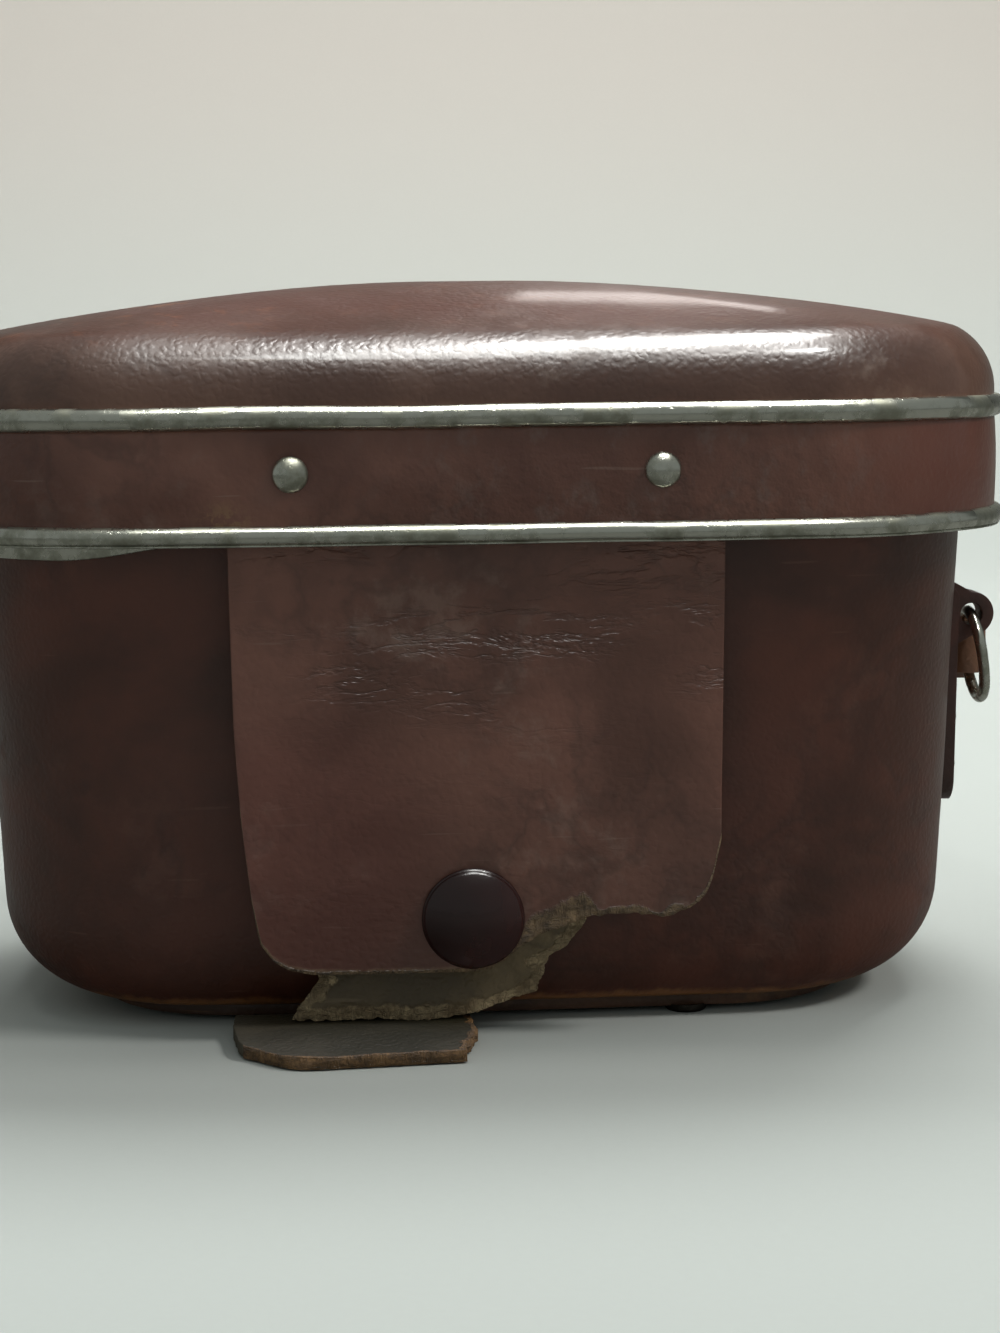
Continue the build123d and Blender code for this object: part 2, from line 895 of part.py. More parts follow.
def hinge_leaf_body():
    y = body_leaf_y()
    low = hinge_z - leaf_length
    leaf = Pos(0, y + leaf_thickness / 2, (low + hinge_z) / 2) * Box(
        2 * hinge_half, leaf_thickness, hinge_z - low
    )
    for a, b in knuckles()[0]:
        leaf += Pos((a + b) / 2, (y + hinge_y) / 2, hinge_z - 0.6) * Box(b - a, hinge_y - y, 1.2)
        leaf += along_x(knuckle_radius, a, b, hinge_y, hinge_z)
    leaf -= along_x(pin_radius, -hinge_half - 1, hinge_half + 1, hinge_y, hinge_z)
    for x in hinge_rivet_xs():
        leaf -= along_y(hinge_rivet_shank + rivet_play, 4, x, y - 1, hinge_rivet_low_z())
    return leaf


def hinge_pin():
    return along_x(pin_radius, -hinge_half, hinge_half, hinge_y, hinge_z)


def hinge_rivets_lid():
    """Three rivets through the band and the lid's leaf."""
    rivets = []
    for x in hinge_rivet_xs():
        seat = band_outer + head_seat
        head = head_y(hinge_rivet_radius, hinge_rivet_rise, x, seat, hinge_rivet_z(), 1)
        inner = leaf_back_y() - leaf_thickness
        shank = along_y(hinge_rivet_shank, seat - inner + rivet_lap, x, inner, hinge_rivet_z())
        rivets.append(head + shank)
    return group(rivets)


def hinge_rivets_body():
    """Three rivets that hold the body's leaf on the back."""
    z = hinge_rivet_low_z()
    y = body_leaf_y() + leaf_thickness
    rivets = []
    for x in hinge_rivet_xs():
        head = head_y(hinge_rivet_radius, hinge_rivet_rise, x, y, z, 1)
        foot_y = y - leaf_thickness + rivet_lap / 2
        shank = along_y(hinge_rivet_shank, leaf_thickness, x, foot_y, z)
        rivets.append(head + shank)
    return group(rivets)


# Rings and strap


def loop_x():
    return side_x(loop_z) + lug_thickness + loop_stand


def ring_place():
    """The ring's centre: it hangs in the loop and leans out by ring_lean."""
    lean = math.radians(ring_lean)
    top_z = loop_z + ring_hang
    return loop_x() + ring_radius * math.sin(lean), lug_y, top_z - ring_radius * math.cos(lean)


def side_ring():
    x, y, z = ring_place()
    ring = Torus(ring_radius, wire_radius)
    return Pos(x, y, z) * Rot(0, -ring_lean, 0) * Rot(0, 90, 0) * ring


def strap_end():
    """The strap's folded end: a loop round the ring's back limb and a doubled tail."""
    x, y, z = ring_place()
    outer = end_bore + end_leather
    loop = disc(outer, end_width, x, end_loop_y, z - end_width / 2)
    tail_from = end_loop_y + end_bore
    fold = Pos(x, (tail_from + tail_end_y) / 2, z) * Box(
        2 * end_leather, tail_end_y - tail_from, end_width
    )
    wide_from = tail_from + end_neck
    wide = Pos(x, (wide_from + tail_end_y) / 2, z) * Box(
        2 * end_leather, tail_end_y - wide_from, strap_width
    )
    shape = loop + fold + wide
    shape -= disc(end_bore, end_width + 4, x, end_loop_y, z - end_width / 2 - 2)
    reach = 3 * end_leather
    shape -= along_x(rivet_shank + rivet_play, x - reach, x + reach, strap_rivet_y(), z)
    return shape


def strap_rivet_y():
    return tail_end_y - strap_rivet_in


def strap_rivet():
    """The rivet that closes the fold, with a head on each side."""
    x, _, z = ring_place()
    y = strap_rivet_y()
    half = end_leather + rivet_lap
    rivet = along_x(rivet_shank, x - half, x + half, y, z)
    for facing in (-1, 1):
        rivet += head_x(strap_rivet_radius, strap_rivet_rise, x + facing * end_leather, y, z, facing)
    return rivet


def route_right():
    """The strap's route from the right ring, over an arch, down to the coil."""
    x, _, z = ring_place()
    start = math.radians(coil_start)
    join = (coil_x + coil_radius * math.cos(start), coil_y + coil_radius * math.sin(start))
    return [
        (x, tail_end_y + strap_gap, z),
        (x, tail_end_y + strap_gap + 14, z),
        (x + arch_out / 2, 48.0, z + arch_rise),
        (x + arch_out, 69.0, z + arch_rise),
        (x + arch_out / 2, 91.0, z - arch_rise),
        (61.0, 106.0, 18.0),
        (50.0, 121.5, 7.6),
        (
            join[0] + coil_lead_in * math.sin(start),
            join[1] - coil_lead_in * math.cos(start),
            strap_low_z,
        ),
        (join[0], join[1], strap_low_z),
    ]


def route_left():
    """The strap's route from the coil's inner end, over its turns, to the left ring."""
    x, _, z = ring_place()
    start = math.radians(coil_start)
    inner = coil_end_radius()
    join = (coil_x + inner * math.cos(start), coil_y + inner * math.sin(start))
    return [
        (join[0], join[1], strap_low_z),
        (
            join[0] - coil_lead_out * math.sin(start),
            join[1] + coil_lead_out * math.cos(start),
            strap_low_z,
        ),
        (-12.1, 130.0, 7.2),
        (-25.4, 125.5, 11.4),
        (-38.4, 112.6, 17.4),
        (-45.0, 94.5, 23.0),
        (-53.0, 74.5, 28.4),
        (-62.0, 55.0, 33.4),
        (-x, 33.0, z),
        (-x, tail_end_y + strap_gap, z),
    ]


def corner_radii(points):
    """Each corner's largest arc: 0.45 of the shorter run over the half turn's tangent."""
    radii = []
    for a, b, c in zip(points, points[1:], points[2:]):
        before, after = Vector(*b) - Vector(*a), Vector(*c) - Vector(*b)
        half_turn = math.radians(before.get_angle(after)) / 2
        radii.append(0.45 * min(before.length, after.length) / math.tan(half_turn))
    return radii


def strap_run(points, name):
    """A strap on its edge along a route of straight runs and tangent arcs."""
    radii = corner_radii(points)
    path = FilletPolyline(*points, radius=radii)
    steps = round(path.length / section_step)
    sections = [strap_section(path @ (i / steps), path % (i / steps)) for i in range(steps + 1)]
    run = loft(sections)
    share = run.volume / (path.length * strap_thickness * strap_width)
    print(
        f"{name}: {path.length:.0f} mm, radii {min(radii):.0f} to {max(radii):.0f} mm,"
        f" volume over section times length {share:.3f}"
    )
    return run


def strap_section(place, heading):
    """The strap's cross-section, standing on its edge across the heading."""
    side = heading.cross(Vector(0, 0, 1)).normalized()
    return Plane(origin=place, x_dir=side, z_dir=heading) * Rectangle(strap_thickness, strap_width)


def coil_radii():
    """The half turns' radii, from the outside; the last one is drawn in further."""
    radii = [coil_radius - i * coil_step for i in range(coil_half_turns)]
    radii[-1] -= coil_tuck
    return radii


def coil_end_radius():
    """How far the coil's inner end lies from the coil's middle."""
    radii = coil_radii()
    return 2 * radii[-1] - radii[-2]


def strap_coil():
    """The put-away length: half turns on two centres, each a little tighter."""
    start = math.radians(coil_start)
    radii = coil_radii()
    half = strap_thickness / 2
    reach = coil_radius
    whole = None
    for i, radius in enumerate(radii):
        facing = -1 if i % 2 else 1
        shift = reach - radius
        centre_x = coil_x + facing * shift * math.cos(start)
        centre_y = coil_y + facing * shift * math.sin(start)
        ring = Circle(radius + half) - Circle(radius - half)
        side = Rot(0, 0, coil_start) * Pos(0, facing * coil_radius) * Rectangle(
            4 * coil_radius, 2 * coil_radius
        )
        piece = extrude(Pos(centre_x, centre_y, strap_rest) * (ring & side), strap_width)
        whole = whole + piece if whole else piece
        reach = radius - shift
    length = math.pi * sum(radii)
    gap = 2 * coil_step - strap_thickness
    print(f"strap_coil: {length:.0f} mm, least gap between turns {gap:.2f} mm")
    return whole


def main():
    single_pieces = {
        "body_shell": body_shell,
        "body_rim": body_rim,
        "body_lining": body_lining,
        "floor_pad": floor_pad,
        "sole_panel": sole_panel,
        "base_feet": base_feet,
        "screw_bush": screw_bush,
        "camera_screw": camera_screw,
        "lug_rivets": lug_rivets,
        "inner_tongue": inner_tongue,
        "stud_post": stud_post,
        "stud_backing": stud_backing,
        "base_tab": base_tab,
        "lid_dome": lid_dome,
        "lid_lining": lid_lining,
        "lid_band": lid_band,
        "upper_bead": upper_bead,
        "lower_bead": lower_bead,
        "lid_frame": lid_frame,
        "flap_anchor": flap_anchor,
        "flap_rivets": flap_rivets,
        "flap_rivet_washers": flap_rivet_washers,
        "flap": flap,
        "snap_cap": snap_cap,
        "snap_socket": snap_socket,
        "hinge_leaf_lid": hinge_leaf_lid,
        "hinge_leaf_body": hinge_leaf_body,
        "hinge_pin": hinge_pin,
        "hinge_rivets_lid": hinge_rivets_lid,
        "hinge_rivets_body": hinge_rivets_body,
        "strap_coil": strap_coil,
    }
    for name, make in single_pieces.items():
        save(make(), name)
    paired_pieces = {"lug": lug, "ring": side_ring, "strap_end": strap_end, "strap_rivet": strap_rivet}
    for name, make in paired_pieces.items():
        right = make()
        save(right, f"{name}_right")
        save(mirror(right, about=Plane.YZ), f"{name}_left")
    save(strap_run(route_right(), "strap_right"), "strap_right")
    save(strap_run(route_left(), "strap_left"), "strap_left")
    print(f"lid hinge: y {hinge_y + middle_shift:.3f}, z {hinge_z:.3f}")
    print(f"flap pivot: y {flap_mid + middle_shift:.3f}, z {pivot_z:.3f}")
    print(f"ring pivot: x {loop_x():.3f}, y {lug_y + middle_shift:.3f}, z {loop_z + ring_hang:.3f}")
    print(f"camera screw: y {middle_shift:.3f}")


main()
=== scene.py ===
# %% [markdown]
# # A worn leather camera case
#
# The case is a moulded leather body with a hinged lid. The lid is edged with two nickel
# beads, a flap with a press stud closes the front, and a strap runs from ring to ring.
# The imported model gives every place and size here, so each piece is built where it
# belongs and nothing is fitted afterwards.

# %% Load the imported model
import json
import math

import bmesh
import bpy
from mathutils import Matrix, Vector, noise

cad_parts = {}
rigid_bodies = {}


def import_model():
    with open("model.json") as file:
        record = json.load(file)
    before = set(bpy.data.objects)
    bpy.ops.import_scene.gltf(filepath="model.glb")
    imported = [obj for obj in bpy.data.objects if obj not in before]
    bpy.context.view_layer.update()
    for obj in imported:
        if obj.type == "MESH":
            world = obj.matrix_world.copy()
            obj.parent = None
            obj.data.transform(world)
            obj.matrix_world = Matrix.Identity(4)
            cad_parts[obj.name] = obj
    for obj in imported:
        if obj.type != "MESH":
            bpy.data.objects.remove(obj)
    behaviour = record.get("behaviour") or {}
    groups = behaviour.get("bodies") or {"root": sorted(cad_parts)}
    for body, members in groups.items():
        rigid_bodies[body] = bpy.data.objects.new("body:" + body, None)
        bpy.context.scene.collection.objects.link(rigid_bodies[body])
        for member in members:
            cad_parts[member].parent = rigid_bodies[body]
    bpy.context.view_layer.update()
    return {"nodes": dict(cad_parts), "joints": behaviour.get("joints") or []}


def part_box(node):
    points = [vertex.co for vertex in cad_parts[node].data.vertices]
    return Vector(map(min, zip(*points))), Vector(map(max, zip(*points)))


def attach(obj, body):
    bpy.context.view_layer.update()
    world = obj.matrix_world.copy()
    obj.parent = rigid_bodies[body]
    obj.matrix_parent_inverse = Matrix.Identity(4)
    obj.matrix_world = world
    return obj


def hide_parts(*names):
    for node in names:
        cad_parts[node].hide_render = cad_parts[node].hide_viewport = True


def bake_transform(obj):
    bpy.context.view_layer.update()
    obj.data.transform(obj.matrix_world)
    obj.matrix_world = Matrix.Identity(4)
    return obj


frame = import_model()
nodes = frame["nodes"]
mm = 0.001
print("nodes in the frame:", len(nodes))

# %% [markdown]
# ## The sizes that the frame gives
#
# A leather shell is made over a wooden block, so every ring of it is one outline, grown
# or drawn in. The outline's own bows and corners are the block's, and the rest is read
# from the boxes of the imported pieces.

# %% Sizes
shell_low, shell_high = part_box("body_shell")
band_low, band_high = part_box("lid_band")
dome_low, dome_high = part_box("lid_dome")
middle_y = (shell_low.y + shell_high.y) / 2
half_width = (shell_high.x - shell_low.x) / 2
half_depth = (shell_high.y - shell_low.y) / 2
corner_radius = 24 * mm
side_bow = 3.5 * mm
front_bow = 2 * mm
lid_grow = band_high.x - half_width
mouth_z = shell_high.z
joint_places = {joint["name"]: Vector(joint["pos_m"]) for joint in frame["joints"]}
print(f"mouth {2 * half_width:.4f} by {2 * half_depth:.4f}, lid grown by {lid_grow:.4f}")

# %% [markdown]
# ## The camera comes first
#
# The photograph looks a little down at the front from about a third of a metre. A lens
# is easiest to set through the photo's focal length in pixels: the long side of the
# picture is 36 mm on Blender's sensor.

# %% The camera
photo_height = 1333
focal_pixels = 2729
camera_place = Vector((-12.8 * mm, middle_y - 371.2 * mm, 86.5 * mm))
look_down = math.radians(6.93)
look_aside = math.radians(-2.66)
roll = math.radians(-0.67)

camera_data = bpy.data.cameras.new("photo_camera")
camera_data.sensor_width = 36
camera_data.lens = focal_pixels / photo_height * camera_data.sensor_width
camera_data.clip_start = 0.01
camera = bpy.data.objects.new("photo_camera", camera_data)
bpy.context.scene.collection.objects.link(camera)
turn = Matrix.Rotation(look_aside, 4, "Z") @ Matrix.Rotation(math.pi / 2 - look_down, 4, "X")
camera.matrix_world = Matrix.Translation(camera_place) @ turn @ Matrix.Rotation(roll, 4, "Z")
bpy.context.scene.camera = camera
print(f"lens {camera_data.lens:.1f} mm")

# %% [markdown]
# ## Small helpers
#
# Most pieces end the same way: a bmesh becomes a mesh, the mesh an object, and the
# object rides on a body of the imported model, takes a finish and hides the plain solid
# that it stands for. So each of those steps has one short function.

# %% Helpers for finished pieces
weld = 0.001 * mm


def new_object(name, data):
    thing = bpy.data.objects.new(name, data)
    bpy.context.scene.collection.objects.link(thing)
    return thing


def finish_mesh(bm, name):
    """Turns a finished bmesh into a smooth object with its place in its mesh."""
    bmesh.ops.remove_doubles(bm, verts=bm.verts, dist=weld)
    bmesh.ops.recalc_face_normals(bm, faces=bm.faces)
    mesh = bpy.data.meshes.new(name)
    bm.to_mesh(mesh)
    bm.free()
    for face in mesh.polygons:
        face.use_smooth = True
    return new_object(name, mesh)


def subdivided(thing):
    subdivision = thing.modifiers.new("smooth", "SUBSURF")
    subdivision.levels = subdivision.render_levels = 1
    return thing


def ride(thing, body, slot, *replaced):
    """A finished piece moves with body and hides what it stands for; slot is not used."""
    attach(thing, body)
    if replaced:
        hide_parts(*replaced)
    return thing


def smooth_step(value):
    value = max(0.0, min(1.0, value))
    return value * value * (3 - 2 * value)


print("meshes are welded at", weld, "m")

# %% [markdown]
# ## The strap
#
# The real strap is a leather band 9 mm wide and 2 mm thick, of the length that a neck
# strap has. It leaves the right ring, arches out of the view and down to a flat coil
# behind the case, and comes back to the left ring. A limp band takes one smooth line, so
# its path is one spline: the free stretches are listed points, in millimetres,
# and the coil's half turns come from a loop, each a little tighter than the last.

# %% The strap's route
end_low, end_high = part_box("strap_end_right")
ring_x = (end_low.x + end_high.x) / 2 / mm
ring_z = (end_low.z + end_high.z) / 2 / mm
leave_y = end_high.y / mm + 0.3
strap_z = 4.6
coil_start = math.radians(65)
coil_radii = (46, 44, 42, 36)
coil_middle = Vector((0, 96 + middle_y / mm))
turn_points = 8


def coil_points():
    """Points of the half turns, whose middles step from side to side of the coil's middle."""
    along = Vector((math.cos(coil_start), math.sin(coil_start)))
    reach, points = coil_radii[0], []
    for i, radius in enumerate(coil_radii):
        facing = -1 if i % 2 else 1
        shift = reach - radius
        centre = coil_middle + along * facing * shift
        reach = radius - shift
        for k in range(turn_points):
            angle = coil_start + math.pi * (i + (k + 0.5) / turn_points)
            out = radius / math.cos(math.pi / turn_points / 2)
            point = centre + out * Vector((math.cos(angle), math.sin(angle)))
            points.append((point.x, point.y, strap_z))
    return points


def beside_coil(radius, along):
    """A point on the tangent at the coil's starting angle."""
    place = coil_middle + radius * Vector((math.cos(coil_start), math.sin(coil_start)))
    place += along * Vector((-math.sin(coil_start), math.cos(coil_start)))
    return (place.x, place.y, strap_z)


back = middle_y / mm
coming = [
    (ring_x, leave_y, ring_z), (ring_x, leave_y + 14, ring_z),
    (ring_x + 3.3, back + 48, ring_z + 6.4), (ring_x + 6.6, back + 69, ring_z + 6.4),
    (ring_x + 3.3, back + 91, ring_z - 6.4), (61, back + 106, 18), (50, back + 121.5, 7.6),
    beside_coil(46, -17),
]
going = [
    beside_coil(30, 12), (-12.1, back + 130, 7.2), (-25.4, back + 125.5, 11.4),
    (-38.4, back + 112.6, 17.4), (-45, back + 94.5, 23), (-53, back + 74.5, 28.4),
    (-62, back + 55, 33.4), (-ring_x, back + 33, ring_z), (-ring_x, leave_y, ring_z),
]
route = [Vector(point) * mm for point in coming + coil_points() + going]
line = bpy.data.curves.new("strap_line", "CURVE")
line.dimensions = "3D"
line.resolution_u = 12
spline = line.splines.new("NURBS")
spline.points.add(len(route) - 1)
for point, place in zip(spline.points, route):
    point.co = (*place, 1)
spline.order_u = 3
spline.use_endpoint_u = True
line_object = bpy.data.objects.new("strap_line", line)
line_mesh = bpy.data.meshes.new_from_object(line_object)
strap_path = [vert.co.copy() for vert in line_mesh.vertices]
bpy.data.objects.remove(line_object)
bpy.data.meshes.remove(line_mesh)

# %% [markdown]
# The band itself is a soft-edged rectangle, carried along that line while it stays on
# its edge. A vertex attribute keeps how near the band's border each point is, so that
# the leather's lighter cut edges and its pressed lines can follow the strap.

# %% The strap's band
strap_half_width, strap_half_thick = 4.5 * mm, 1.0 * mm
section_points = 16
squareness = 0.45


def strap_section(step):
    """A point of the section, as (across the thickness, up the width)."""
    angle = 2 * math.pi * (step + 0.5) / section_points
    flat, edge = math.cos(angle), math.sin(angle)
    return (
        strap_half_thick * math.copysign(abs(flat) ** squareness, flat),
        strap_half_width * math.copysign(abs(edge) ** squareness, edge),
    )


def sorted_out(made):
    """The vertices and the edges of what an operator made."""
    verts = [part for part in made if isinstance(part, bmesh.types.BMVert)]
    return verts, [part for part in made if isinstance(part, bmesh.types.BMEdge)]


def along_path(path, name):
    """Carries the strap's section along a path, upright, and keeps each border share."""
    bm = bmesh.new()
    steps = bm.verts.layers.int.new("step")
    border = bm.verts.layers.float.new("border")
    verts = bmesh.ops.create_circle(bm, segments=section_points, radius=1)["verts"]
    for i, vert in enumerate(sorted(verts, key=lambda v: math.atan2(v.co.y, v.co.x))):
        vert[steps] = i
    edges = list(bm.edges)
    ends = []
    for i, place in enumerate(path):
        heading = (path[min(i + 1, len(path) - 1)] - path[max(i - 1, 0)]).normalized()
        side = heading.cross(Vector((0, 0, 1))).normalized()
        up = side.cross(heading)
        if i:
            verts, edges = sorted_out(bmesh.ops.extrude_edge_only(bm, edges=edges)["geom"])
        for vert in verts:
            across, rise = strap_section(vert[steps])
            vert.co = place + side * across + up * rise
            vert[border] = rise / strap_half_width
        if i in (0, len(path) - 1):
            ends += edges
    bmesh.ops.holes_fill(bm, edges=ends, sides=0)
    return finish_mesh(bm, name)


strap = along_path(strap_path, "neck_strap")
ride(strap, "root", "strap_leather", "strap_right", "strap_coil", "strap_left")
print("strap faces:", len(strap.data.polygons))

# %% [markdown]
# ## One outline for every ring
#
# Four long arcs make the sides and four short ones the corners. A point is found from
# the way that it faces: each arc covers a range of directions, and growing the outline
# only moves the point that way. Equal steps along the outline keep the quads even.

# %% The outline
around = 192
side_arc = ((half_depth - front_bow) ** 2 + side_bow**2) / (2 * side_bow)
front_arc = ((half_width - side_bow) ** 2 + front_bow**2) / (2 * front_bow)


def corner_middle():
    """The centre of the corner's arc, which touches the side's and the front's arcs."""
    side = Vector((half_width - side_arc, 0))
    front = Vector((0, half_depth - front_arc))
    a, b = side_arc - corner_radius, front_arc - corner_radius
    apart = front - side
    along = (a**2 - b**2 + apart.length_squared) / (2 * apart.length)
    across = math.sqrt(a**2 - along**2)
    unit = apart.normalized()
    return side + unit * along + Vector((-unit.y, unit.x)) * across


corner = corner_middle()
side_turn = math.atan2(corner.y, corner.x - (half_width - side_arc))
front_turn = math.atan2(corner.y - (half_depth - front_arc), corner.x)
side_length = side_arc * side_turn
corner_length = corner_radius * (front_turn - side_turn)
front_length = front_arc * (math.pi / 2 - front_turn)


def facing_at(share):
    """The direction that the outline faces at a share of a quarter, from +X to +Y."""
    length = share * (side_length + corner_length + front_length)
    if length < side_length:
        return length / side_arc
    length -= side_length
    if length < corner_length:
        return side_turn + length / corner_radius
    return front_turn + (length - corner_length) / front_arc


def quarter_point(share, grow):
    """A point of the quarter outline, grown by grow."""
    facing = facing_at(share)
    out = Vector((math.cos(facing), math.sin(facing)))
    if facing < side_turn:
        start, radius = Vector((half_width - side_arc, 0)), side_arc
    elif facing < front_turn:
        start, radius = corner, corner_radius
    else:
        start, radius = Vector((0, half_depth - front_arc)), front_arc
    return start + out * (radius + grow)


def outline_point(step, grow):
    """Step 0 to around - 1 of the whole outline, in the case's own plan."""
    quarter, inside = divmod(step, around // 4)
    share = inside / (around // 4)
    if quarter % 2:
        share = 1 - share
    point = quarter_point(share, grow)
    return Vector((point.x * (1, -1, -1, 1)[quarter], point.y * (1, 1, -1, -1)[quarter]))


print(f"quarter outline: {side_length + corner_length + front_length:.4f} m")

# %% [markdown]
# ## Shells from rings
#
# A ring of vertices is drawn once and extruded from level to level. Each vertex keeps
# its step in an integer layer, which extruding copies, so a level only says how far the
# outline is grown, how much its ends are drawn in, how it is scaled and how high it is.

# %% Rings and shells


def place_ring(verts, steps, level):
    grow, draw, keep, height = level
    for vert in verts:
        point = outline_point(vert[steps], grow)
        x = point.x * (1 - draw / half_width)
        vert.co = (x * keep, point.y * keep + middle_y, height)


def shell_from(levels, closed=False):
    """Extrudes the outline through the levels; closed joins the last ring to the first."""
    bm = bmesh.new()
    steps = bm.verts.layers.int.new("step")
    verts = bmesh.ops.create_circle(bm, segments=around, radius=1)["verts"]
    for vert in verts:
        angle = math.atan2(vert.co.y, vert.co.x)
        vert[steps] = round(angle / (2 * math.pi) * around) % around
    place_ring(verts, steps, levels[0])
    first = edges = list(bm.edges)
    for level in levels[1:]:
        verts, edges = sorted_out(bmesh.ops.extrude_edge_only(bm, edges=edges)["geom"])
        place_ring(verts, steps, level)
    if closed:
        bmesh.ops.bridge_loops(bm, edges=first + edges)
    else:
        bmesh.ops.holes_fill(bm, edges=first + edges, sides=0)
    return bm


def uneven(bm, amount, wave, seed, low, high):
    """Moves the vertices between two heights a little along their normals, as by hand."""
    bm.normal_update()
    for vert in bm.verts:
        if low < vert.co.z < high:
            fade = min(1.0, (vert.co.z - low) / wave, (high - vert.co.z) / wave)
            push = noise.noise(vert.co / wave + Vector((seed, 2 * seed, 0)))
            vert.co += vert.normal * push * amount * fade


# %% [markdown]
# ## The body
#
# Wet leather was pulled over the block, so the body is one shell: a flat floor, long
# soft roundings at the ends, a sharper one at the front, and walls that lean out a
# little towards the mouth. The ends lean out more than the front, because the block
# was a wedge there. The stiff wall is 2.5 mm thick.

# %% The body's shell
body_wall = 2.5 * mm
body_draft = 1.6 * mm
end_flare = 1.6 * mm
end_round = 12 * mm
front_round = 4 * mm
round_height = 12 * mm
edge_round = 0.6 * mm
floor_rings = (0.35, 0.8, 0.97)
floor_z = shell_low.z
bend_z = floor_z + round_height


def wall_draw(height):
    return body_draft * (mouth_z - height) / (mouth_z - floor_z)


def bowl_levels(shrink, steps=10, wall_steps=10):
    """Levels of the bowl from its floor up to just below the mouth, drawn in by shrink."""
    low = floor_z + shrink
    levels = []
    for step in range(steps + 1):
        swing = math.pi / 2 * (1 - step / steps)
        in_x = wall_draw(bend_z) + (end_round - shrink) * (1 - math.cos(swing))
        in_y = wall_draw(bend_z) + max(front_round - shrink, mm) * (1 - math.cos(swing))
        levels.append((-shrink - in_y, in_x - in_y, 1, bend_z - (bend_z - low) * math.sin(swing)))
    for step in range(1, wall_steps + 1):
        height = bend_z + (mouth_z - edge_round - bend_z) * step / wall_steps
        flare = -end_flare * step / wall_steps
        levels.append((-shrink - wall_draw(height), flare, 1, height))
    grow, draw, _, height = levels[0]
    return [(grow, draw, keep, height) for keep in floor_rings] + levels


outer = bowl_levels(0)
inner = bowl_levels(body_wall)
lip = [(-edge_round / 3, mouth_z - edge_round / 4), (-edge_round, mouth_z)]
lip += [(edge_round - body_wall, mouth_z), (edge_round / 3 - body_wall, mouth_z - edge_round / 4)]
lip = [(grow, -end_flare, 1, height) for grow, height in lip]
bm = shell_from(outer + lip + inner[::-1])
low, high = floor_z + 2 * mm, mouth_z - 6 * mm
uneven(bm, amount=0.45 * mm, wave=26 * mm, seed=3.0, low=low, high=high)
body = subdivided(finish_mesh(bm, "body_leather"))
ride(body, "root", "case_leather", "body_shell")
print("body:", len(body.data.polygons), "faces")

# %% [markdown]
# ## Lining and floor pad
#
# Inside, the leather is covered with a thin velvet, and a velvet pad lies on the floor
# under the camera. The lining is the same bowl again, drawn in by the leather's
# thickness, and the pad is a low cushion: its sides bulge and its top rises a little.

# %% The lining and the pad
lining_thick = 0.7 * mm
glue_gap = 0.05 * mm
inner_face = bowl_levels(body_wall + lining_thick)
bm = shell_from(bowl_levels(body_wall + glue_gap) + inner_face[::-1])
lining = ride(finish_mesh(bm, "body_velvet"), "root", "lining", "body_lining")

pad_low, pad_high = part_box("floor_pad")
pad_grow = (pad_high.y - pad_low.y) / 2 - half_depth
pad_draw = half_width + pad_grow - pad_high.x
pad_rise = pad_high.z - pad_low.z
pad_crown = 0.35 * mm
pad_side = ((0.4, 0), (0, 0.35), (0.15, 0.7), (0.6, 0.93), (1.4, 1))
pad_levels = [
    (pad_grow - inset * mm, pad_draw, 1, pad_low.z + up * pad_rise) for inset, up in pad_side
]
for keep in (0.9, 0.7, 0.45, 0.2):
    height = pad_high.z + pad_crown * (1 - keep**2)
    pad_levels.append((pad_grow - pad_side[-1][0] * mm, pad_draw, keep, height))
pad = ride(finish_mesh(shell_from(pad_levels), "velvet_floor_pad"), "root", "lining", "floor_pad")
print("lining and pad:", len(lining.data.polygons), len(pad.data.polygons), "faces")

# %% [markdown]
# ## The nickel rim
#
# A pressed strip clips over the body's mouth, and the lid closes on it. At the left end
# its lower edge has slipped down by more than a millimetre, so a sliver of bright metal
# shows there under the lid. One ring of vertices dips to follow that.

# %% The rim
rim_low, rim_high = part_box("body_rim")
rim_thick = rim_high.z - mouth_z
rim_lip = 3.2 * mm
dip = 2.1 * mm
dip_end, dip_run = -half_width + 12 * mm, 20 * mm


def rim_dip(x):
    """How far the rim's lower edge has slipped down at x."""
    return dip * (1 - smooth_step((x - dip_end) / dip_run))


rim_edge = rim_low.z + 1.5 * mm
rim_section = [
    (0.05 * mm, rim_edge), (rim_thick * 0.8, rim_edge), (rim_thick, rim_edge + 0.15 * mm),
    (rim_thick, mouth_z - 2 * mm), (rim_thick, rim_high.z - 0.25 * mm),
    (rim_thick - 0.25 * mm, rim_high.z), (-rim_lip + 0.2 * mm, rim_high.z),
    (-rim_lip, rim_high.z - 0.2 * mm), (-rim_lip, mouth_z + 0.02 * mm),
    (0.05 * mm, mouth_z + 0.02 * mm),
]
rim_levels = [(grow, -end_flare, 1, height) for grow, height in rim_section]
bm = shell_from(rim_levels, closed=True)
for vert in bm.verts:
    if vert.co.z < rim_edge + 0.3 * mm:
        vert.co.z -= rim_dip(vert.co.x)
rim = ride(finish_mesh(bm, "nickel_rim"), "root", "nickel", "body_rim")
print("rim:", len(rim.data.polygons), "faces")

# %% [markdown]
# ## The lid's dome
#
# The dome rises from the upper bead in a quarter round, and a low crown closes it. Its
# rings shrink by the cosine of the turn, so the round edge meets the wall without a
# corner. The crown is flatter than a ball: its height follows a parabola.

# %% The dome
dome_wall = 2 * mm
dome_edge = 9 * mm
crown_rise = 6.5 * mm
crown_rings = (0.9, 0.78, 0.62, 0.45, 0.28, 0.12)


